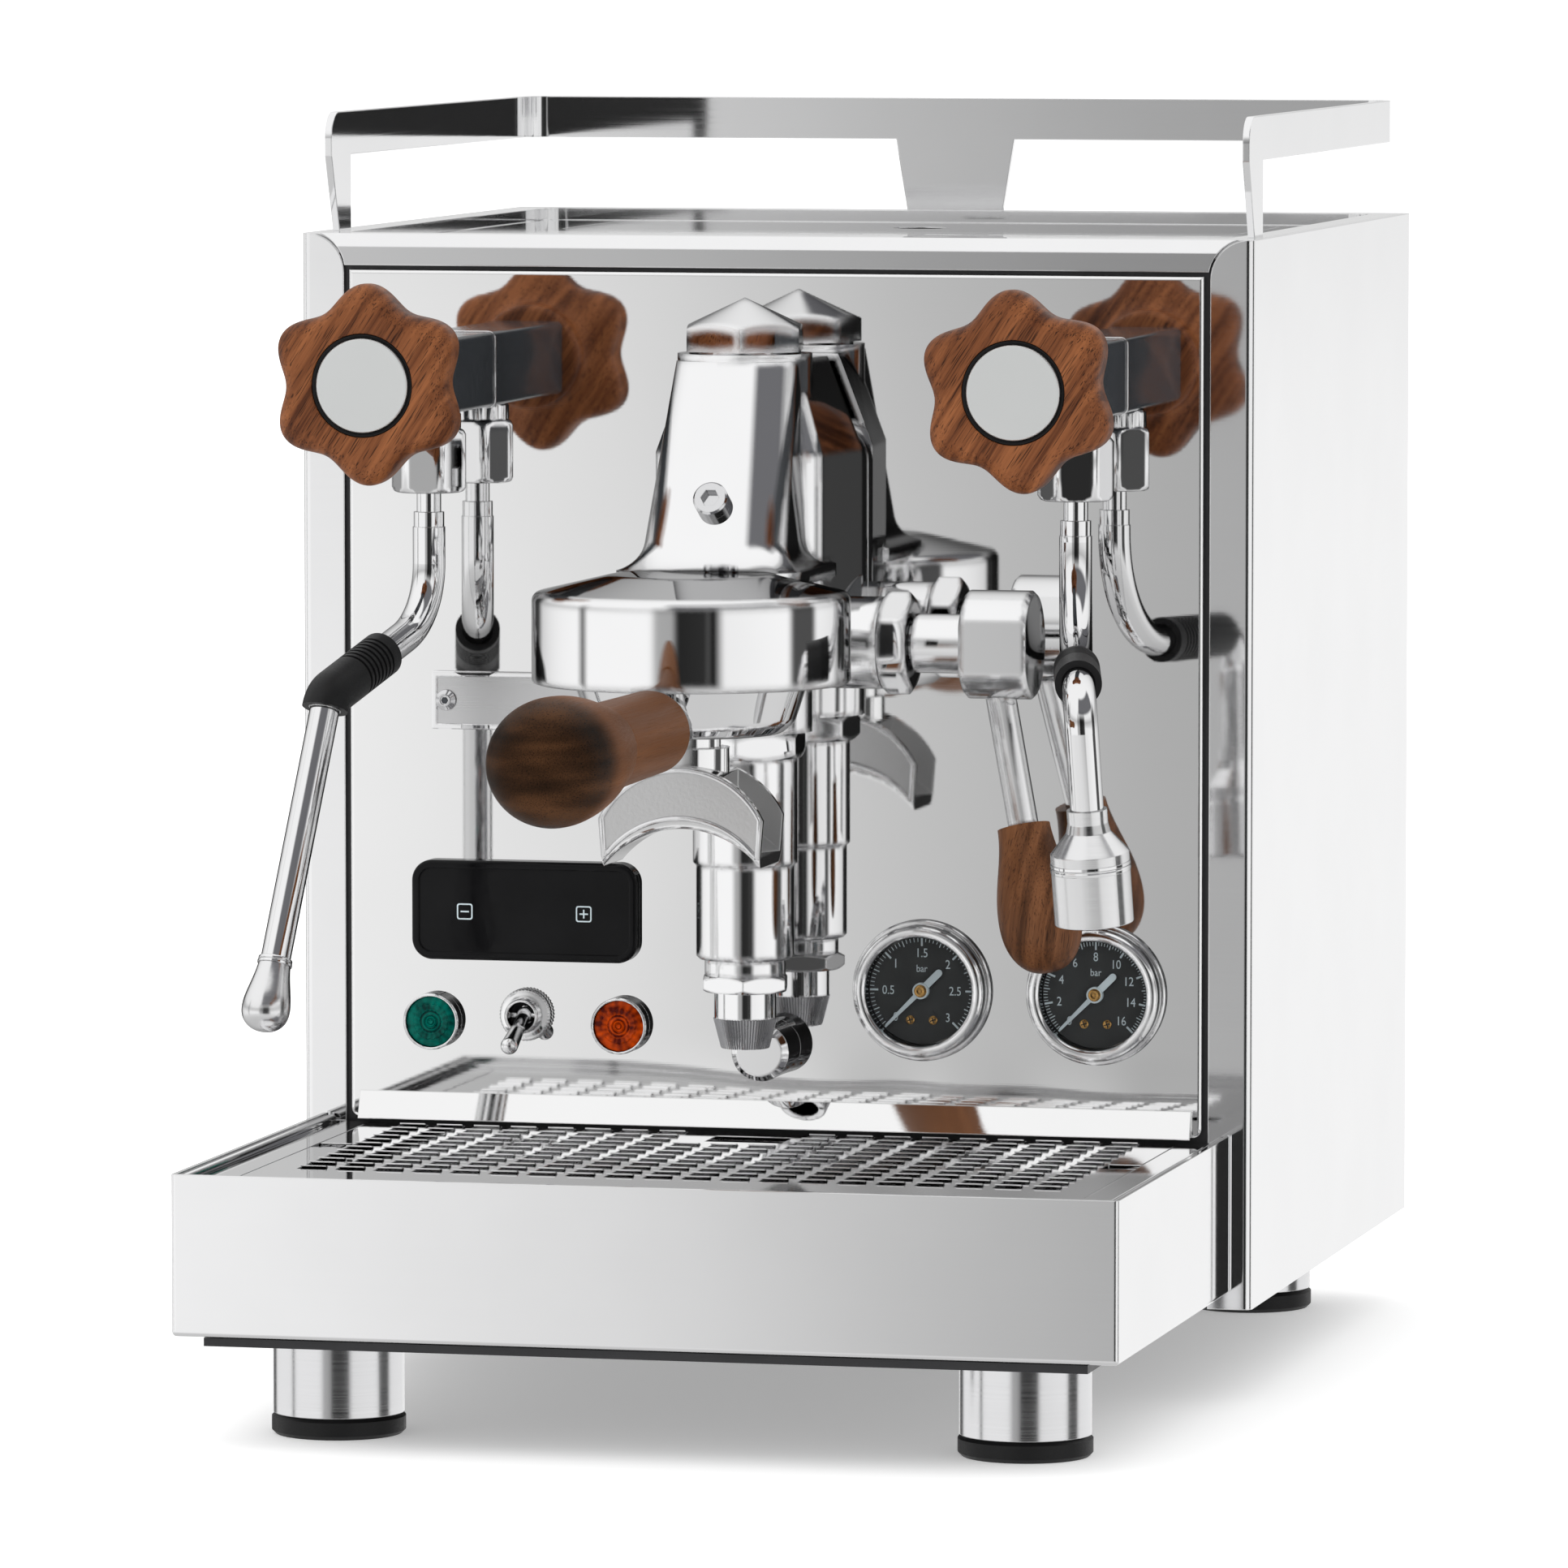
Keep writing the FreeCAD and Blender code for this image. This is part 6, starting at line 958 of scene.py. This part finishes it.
def toggle_switch():
    """Switch bush with its knurled nut in place of the plain collar."""
    low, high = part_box("toggle_collar")
    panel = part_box("lamp_bezels")[1].y
    nut = (high.x - low.x) / 2 / MM
    proud = (panel - low.y) / MM
    deep = (high.y - panel) / MM

    def knurl(turn, radius, height):
        """Teeth round the nut."""
        return BUSH_TOOTH * math.cos(BUSH_TEETH * turn) - BUSH_TOOTH if radius > nut - 0.1 else 0.0

    profile = [(0.0, -deep), (BUSH_R, -deep), (BUSH_R, 0.0), (nut - 0.4, 0.0), (nut, 0.4), (nut, 2.6)]
    profile += [(nut - 0.6, 3.2), (BUSH_R + 1.0, 3.3), (BUSH_R, 3.3)]
    level = THREAD_START
    while level < proud - THREAD_PITCH:
        profile += [(BUSH_R - THREAD_DEEP, level), (BUSH_R, level + THREAD_PITCH / 2)]
        level += THREAD_PITCH
    profile += [(BUSH_R - 0.2, proud - 0.3), (BUSH_R - 0.5, proud), (BUSH_BORE + 0.2, proud)]
    profile += [(BUSH_BORE, proud - 0.25), (BUSH_BORE, 1.4), (BUSH_BORE - 0.6, 0.2), (0.0, 0.1)]
    shape = Shape()
    lathe(shape, profile, at_depth("toggle_flip", panel), FORWARD, 276, knurl)
    piece("toggle_bush", shape, "machine", "chrome", replaces="toggle_collar")


def toggle_seal():
    """Black seal at the bottom of the switch's bush."""
    shape = Shape()
    lathe(shape, SEAL_PROFILE, at_depth("toggle_flip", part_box("lamp_bezels")[1].y), FORWARD, 64)
    piece("toggle_seal", shape, "machine", "rubber")


# Knobs
def star_knob(side, facing):
    """Carved star knob with a round shoulder and a recess for its cap, in place of the plain one."""
    node = side + "_knob"
    low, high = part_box(node)
    deep = (high.y - low.y) / MM
    floor_level = deep - KNOB_RECESS_DEEP
    first = math.radians(facing)

    def lobes(turn, radius, height):
        """Lobes that grow from the hub and the recess to the rim."""
        share = max(0.0, (radius - KNOB_PLAIN_R) / (KNOB_RIM_R - KNOB_PLAIN_R)) ** KNOB_SWELL
        return KNOB_WAVE * share * math.cos(KNOB_LOBES * (turn - first))

    profile = [*KNOB_BACK, *smoothed(KNOB_SIDE), (KNOB_FACE_R, deep), (KNOB_RECESS_R + KNOB_EASE, deep)]
    profile += [(KNOB_RECESS_R, deep - KNOB_EASE), (KNOB_RECESS_R, floor_level), (0.0, floor_level)]
    shape = Shape()
    lathe(shape, profile, at_depth(side + "_valve_turn", high.y), FORWARD, 180, lobes)
    piece(node + "_carved", shape, side + "_valve", "knob_wood", replaces=node, angle=50)


def knob_gap_shade(side):
    """Black ring down in the gap between a knob's wood and its bright cap, a dark piece that stands in for
    the shade in that gap.
    """
    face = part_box(side + "_knob")[0].y
    outer = KNOB_RECESS_R - RING_GAP
    profile = [(RING_BORE, 0.0), (outer, 0.0), (outer, 2.2), (outer - 0.3, 2.45), (14.6, 1.9)]
    profile += [(RING_BORE, 1.6), (RING_BORE, 0.0)]
    shape = Shape()
    lathe(shape, profile, at_depth(side + "_valve_turn", face + KNOB_RECESS_DEEP * MM), FORWARD, 96)
    piece(side + "_knob_gap_shade", shape, side + "_valve", "rubber")


# Name plate and valve bars
def plate_sockets():
    """Rims of the hexagonal sockets in the heads of the name plate's screws, with a black hexagon in each
    that stands in for the shade down in the socket.
    """
    low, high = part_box("nameplate")
    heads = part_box("case_screws")[0].y
    rim = Shape()
    socket_shade = Shape()
    turns = [math.radians(60 * k) for k in range(6)]
    hexagon = [(SOCKET_R * math.cos(turn), SOCKET_R * math.sin(turn)) for turn in turns]
    for x in (low.x + SOCKET_INSET * MM, high.x - SOCKET_INSET * MM):
        centre = Vector((x, heads, (low.z + high.z) / 2))
        lathe(rim, SOCKET_RIM, centre, FORWARD, 36)
        # Black hexagon: painted shade of the socket, which is not cut
        slab(socket_shade, hexagon, centre, SOCKET_THICK)
    piece("plate_screw_rims", rim, "machine", "screw_steel")
    piece("plate_screw_socket_shades", socket_shade, "machine", "valve_black")


def plate_border():
    """Bright raised border round the name plate."""
    low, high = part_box("nameplate")
    middle = (low + high) / 2
    wide = (high.x - low.x) / 2 / MM
    tall = (high.z - low.z) / 2 / MM
    outer = [(-wide, -tall), (wide, -tall), (wide, tall), (-wide, tall)]
    inner = [(x - math.copysign(BORDER_BAND, x), z - math.copysign(BORDER_BAND, z)) for x, z in outer]
    shape = Shape()
    frame_ring(shape, outer, inner, Vector((middle.x, low.y + BORDER_SINK * MM, middle.z)), BORDER_THICK)
    piece("plate_border", shape, "machine", "steel_sheet", "chrome")


def valve_frames():
    """Thin bright frame where each square bar meets the panel."""
    low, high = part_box("valve_bodies")
    panel = pivot_of("boiler_needle_turn").y
    half = (high.z - low.z) / 2 / MM
    outer, inner = (round_square(half + past, corner) for past, corner in VALVE_FRAME)
    shape = Shape()
    for side in KNOB_TURNS:
        frame_ring(shape, outer, inner, at_depth(side + "_valve_turn", panel), VALVE_FRAME_THICK)
    piece("valve_frames", shape, "machine", "chrome")


# Spout and handle
def tube_loop(shape, points, radius):
    """Round bar along a closed loop of points in a plane square to the Y axis."""
    side = Vector((0, 1, 0))
    rows = []
    for k, point in enumerate(points):
        along = (points[(k + 1) % len(points)] - points[k - 1]).normalized()
        rows.append(circle(point, along.cross(side), side, radius, TUBE_SIDES))
    shape.rows(rows + [rows[0]])


def spout_arc(base, inset, end, top):
    """Points of an upward arc on the spout, from its right end to its left one."""
    half = SPOUT_HALF - inset
    top_z = base + top
    rise = top_z - (base + end)
    radius = (half * half + rise * rise) / (2 * rise)
    sweep = math.asin(half / radius)
    turns = [sweep - 2 * sweep * k / ARC_STEPS for k in range(ARC_STEPS + 1)]
    return [(radius * math.sin(turn), top_z - radius + radius * math.cos(turn)) for turn in turns]


def spout_border():
    """Raised border on both flat sides of the double spout."""
    low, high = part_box("double_spout")
    middle = (low.x + high.x) / 2
    upper, lower = (spout_arc(low.z / MM, *edge) for edge in (SPOUT_UPPER, SPOUT_LOWER))
    shape = Shape()
    for y in (low.y, high.y):
        loop = [Vector((middle + x * MM, y, z * MM)) for x, z in upper + lower[::-1]]
        tube_loop(shape, loop, SPOUT_BEAD_R * MM)
    piece("spout_border", shape, "portafilter", "chrome", angle=60)


def turned_handle():
    """Handle with a long neck, a step and a round bulb in place of the plain one."""
    low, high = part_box("portafilter_handle")
    centre = Vector(((low.x + high.x) / 2, high.y, (low.z + high.z) / 2))
    shape = Shape()
    lathe(shape, [*HANDLE_NECK, *smoothed(HANDLE_BULB)], centre, FORWARD, 96)
    piece("turned_handle", shape, "portafilter", "handle_wood", replaces="portafilter_handle")


# Wands
def hexagon_nuts():
    """Chromed nuts with fluted necks in place of the plain ones, each turned its own way."""
    low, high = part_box("joint_nuts")
    top = (high.z - low.z) / MM
    tall = top - NUT_NECK_TALL
    sixth = math.radians(60)
    lower = [(NUT_MOUTH, 0.0), (9.7, 0.0), (10.5, 0.3), (11.0, 0.8), (NUT_LIMIT, 1.6)]
    upper = [(NUT_LIMIT, tall - 1.6), (11.0, tall - 0.8), (10.5, tall - 0.3), (9.8, tall)]
    neck = [(NUT_NECK_R, tall + 0.2), (NUT_NECK_R, top - 0.9), (NUT_NECK_R - 0.6, top - 0.3)]
    bore = [(NUT_NECK_R - 0.9, top), (NUT_BORE, top), (NUT_BORE, 10.0), (NUT_MOUTH, 6.0), (NUT_MOUTH, 0.0)]
    shape = Shape()
    for joint, facing in NUT_FACING:
        pivot = pivot_of(joint)
        first = math.radians(facing - 90)

        def sides(turn, radius, height):
            """Flats of the nut below, flutes of its neck above."""
            if height > tall + 0.1:
                fluted = radius > NUT_NECK_R - 0.1
                return -NUT_FLUTE_DEEP * (1 + math.cos(NUT_FLUTES * turn)) if fluted else 0.0
            if radius < NUT_HALF_FLATS - 0.5:
                return 0.0
            off = (turn - first + sixth / 2) % sixth - sixth / 2
            return min(NUT_HALF_FLATS / math.cos(off), radius) - radius

        lathe(shape, lower + upper + neck + bore, Vector((pivot.x, pivot.y, low.z)), UP, 144, sides)
    piece("hexagon_nuts", shape, "machine", "chrome", replaces="joint_nuts", angle=40)


def wand_point(joint, side, splay, out, height):
    """Place on a wand from its angle, its reach from the joint and its height."""
    pivot = pivot_of(joint)
    turn = math.radians(splay)
    x = pivot.x + side * out * MM * math.sin(turn)
    y = pivot.y - out * MM * math.cos(turn)
    return Vector((x, y, height * MM))


def nozzle_rings():
    """Turned bead with a groove on each wand's nozzle."""
    for name, joint, side, knee, end, profile in NOZZLE_RINGS:
        tip = wand_point(joint, side, *end)
        along = tip - wand_point(joint, side, *knee)
        shape = Shape()
        lathe(shape, profile, tip, along, 72)
        piece(name, shape, joint.replace("swivel", "arm"), "wand_steel")


def nozzle_knurl():
    """Knurled taper of the drain nozzle."""
    low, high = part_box("exhaust_nozzle")
    centre = Vector(((low.x + high.x) / 2, (low.y + high.y) / 2, low.z))
    profile = [(NOZZLE_TIP - 0.4, 0.05), (NOZZLE_TIP + 0.05, 0.1), (NOZZLE_TIP + 0.2, 0.5)]
    profile += [(NOZZLE_WIDE + 0.12, NOZZLE_TAPER - 0.3), (NOZZLE_WIDE - 0.3, NOZZLE_TAPER)]

    def teeth(turn, radius, height):
        """Teeth all round."""
        return NOZZLE_TOOTH * math.cos(NOZZLE_TEETH * turn)

    shape = Shape()
    lathe(shape, profile, centre, UP, 256, teeth)
    piece("nozzle_knurl", shape, "machine", "chrome", "dark_cast")


# Tray and grate
def near_finger_hole(*place):
    """Whether a slot of the grate lies over the finger hole or its border."""
    gaps = [abs(spot - hole) for spot, hole in zip(place, HOLE_PLACE)]
    return all(gap < half + HOLE_BORDER + size / 2 for gap, half, size in zip(gaps, HOLE_HALF, SLOT_SIZE))


def louvre(shape, corner, x, y):
    """Raised lip over one slot, at a place from the front left corner of the grate."""
    half = SLOT_SIZE[0] / 2 - LOUVRE_PLAY
    ends = []
    for side in (-half, half):
        top = [Vector((x + side, y + a, b)) for a, b in LOUVRE_LIP]
        under = [Vector((x + side, y + a, b - LOUVRE_THICK)) for a, b in LOUVRE_LIP[::-1]]
        ends.append([corner + point * MM for point in top + under])
    shape.rows(ends)
    shape.cap(ends[0][::-1])
    shape.cap(ends[1])


def grate_louvres():
    """Raised lip over each slot of the grate, open to the front."""
    low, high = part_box("drip_grate")
    corner = Vector((low.x, low.y, high.z))
    width = (high.x - low.x) / MM
    depth = (high.y - low.y) / MM
    columns = int((width - 2 * SLOT_MARGINS[0]) // SLOT_PITCH[0])
    last_row = depth - SLOT_BACK_MARGIN
    rows = int((last_row - SLOT_MARGINS[1]) // SLOT_PITCH[1]) + 1
    shape = Shape()
    for column in range(columns):
        x = width / 2 + (column - (columns - 1) / 2) * SLOT_PITCH[0]
        for row in range(rows):
            y = last_row - row * SLOT_PITCH[1]
            if not near_finger_hole(x - width / 2, y - depth):
                louvre(shape, corner, x, y)
    piece("grate_louvres", shape, "grate", "steel_sheet")


def tray_rims():
    """Rolled rims along the side walls of the drip tray."""
    low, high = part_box("drip_tray")
    shape = Shape()
    for side, x in ((1, low.x), (-1, high.x)):
        rows = []
        for y in (low.y + RIM_ENDS[0] * MM, high.y - RIM_ENDS[1] * MM):
            centre = Vector((x + side * RIM_INSET * MM, y, high.z - RIM_DROP * MM))
            rows.append(circle(centre, RIGHT, UP, RIM_R * MM, RIM_SIDES))
        shape.rows(rows)
        shape.cap(rows[0])
        shape.cap(rows[1][::-1])
    piece("tray_rims", shape, "tray", "steel_sheet", angle=50)


# Scene
camera()
studio_world()
floor()
key_light()
slot_finishes()
own_finishes()
dress_nodes()
for pointer, marks in DIAL_FIGURES.items():
    gauge_marks(pointer, marks)
for pointer in DIAL_FIGURES:
    needle_boss(pointer)
dial_screws()
display_marks()
lamp_lens("green_lens")
lamp_lens("orange_lens")
toggle_switch()
for valve, way in KNOB_TURNS.items():
    star_knob(valve, way)
for valve in KNOB_TURNS:
    knob_gap_shade(valve)
plate_sockets()
plate_border()
spout_border()
turned_handle()
hexagon_nuts()
valve_frames()
toggle_seal()
nozzle_rings()
nozzle_knurl()
grate_louvres()
tray_rims()
bpy.context.scene.view_settings.view_transform = "Standard"
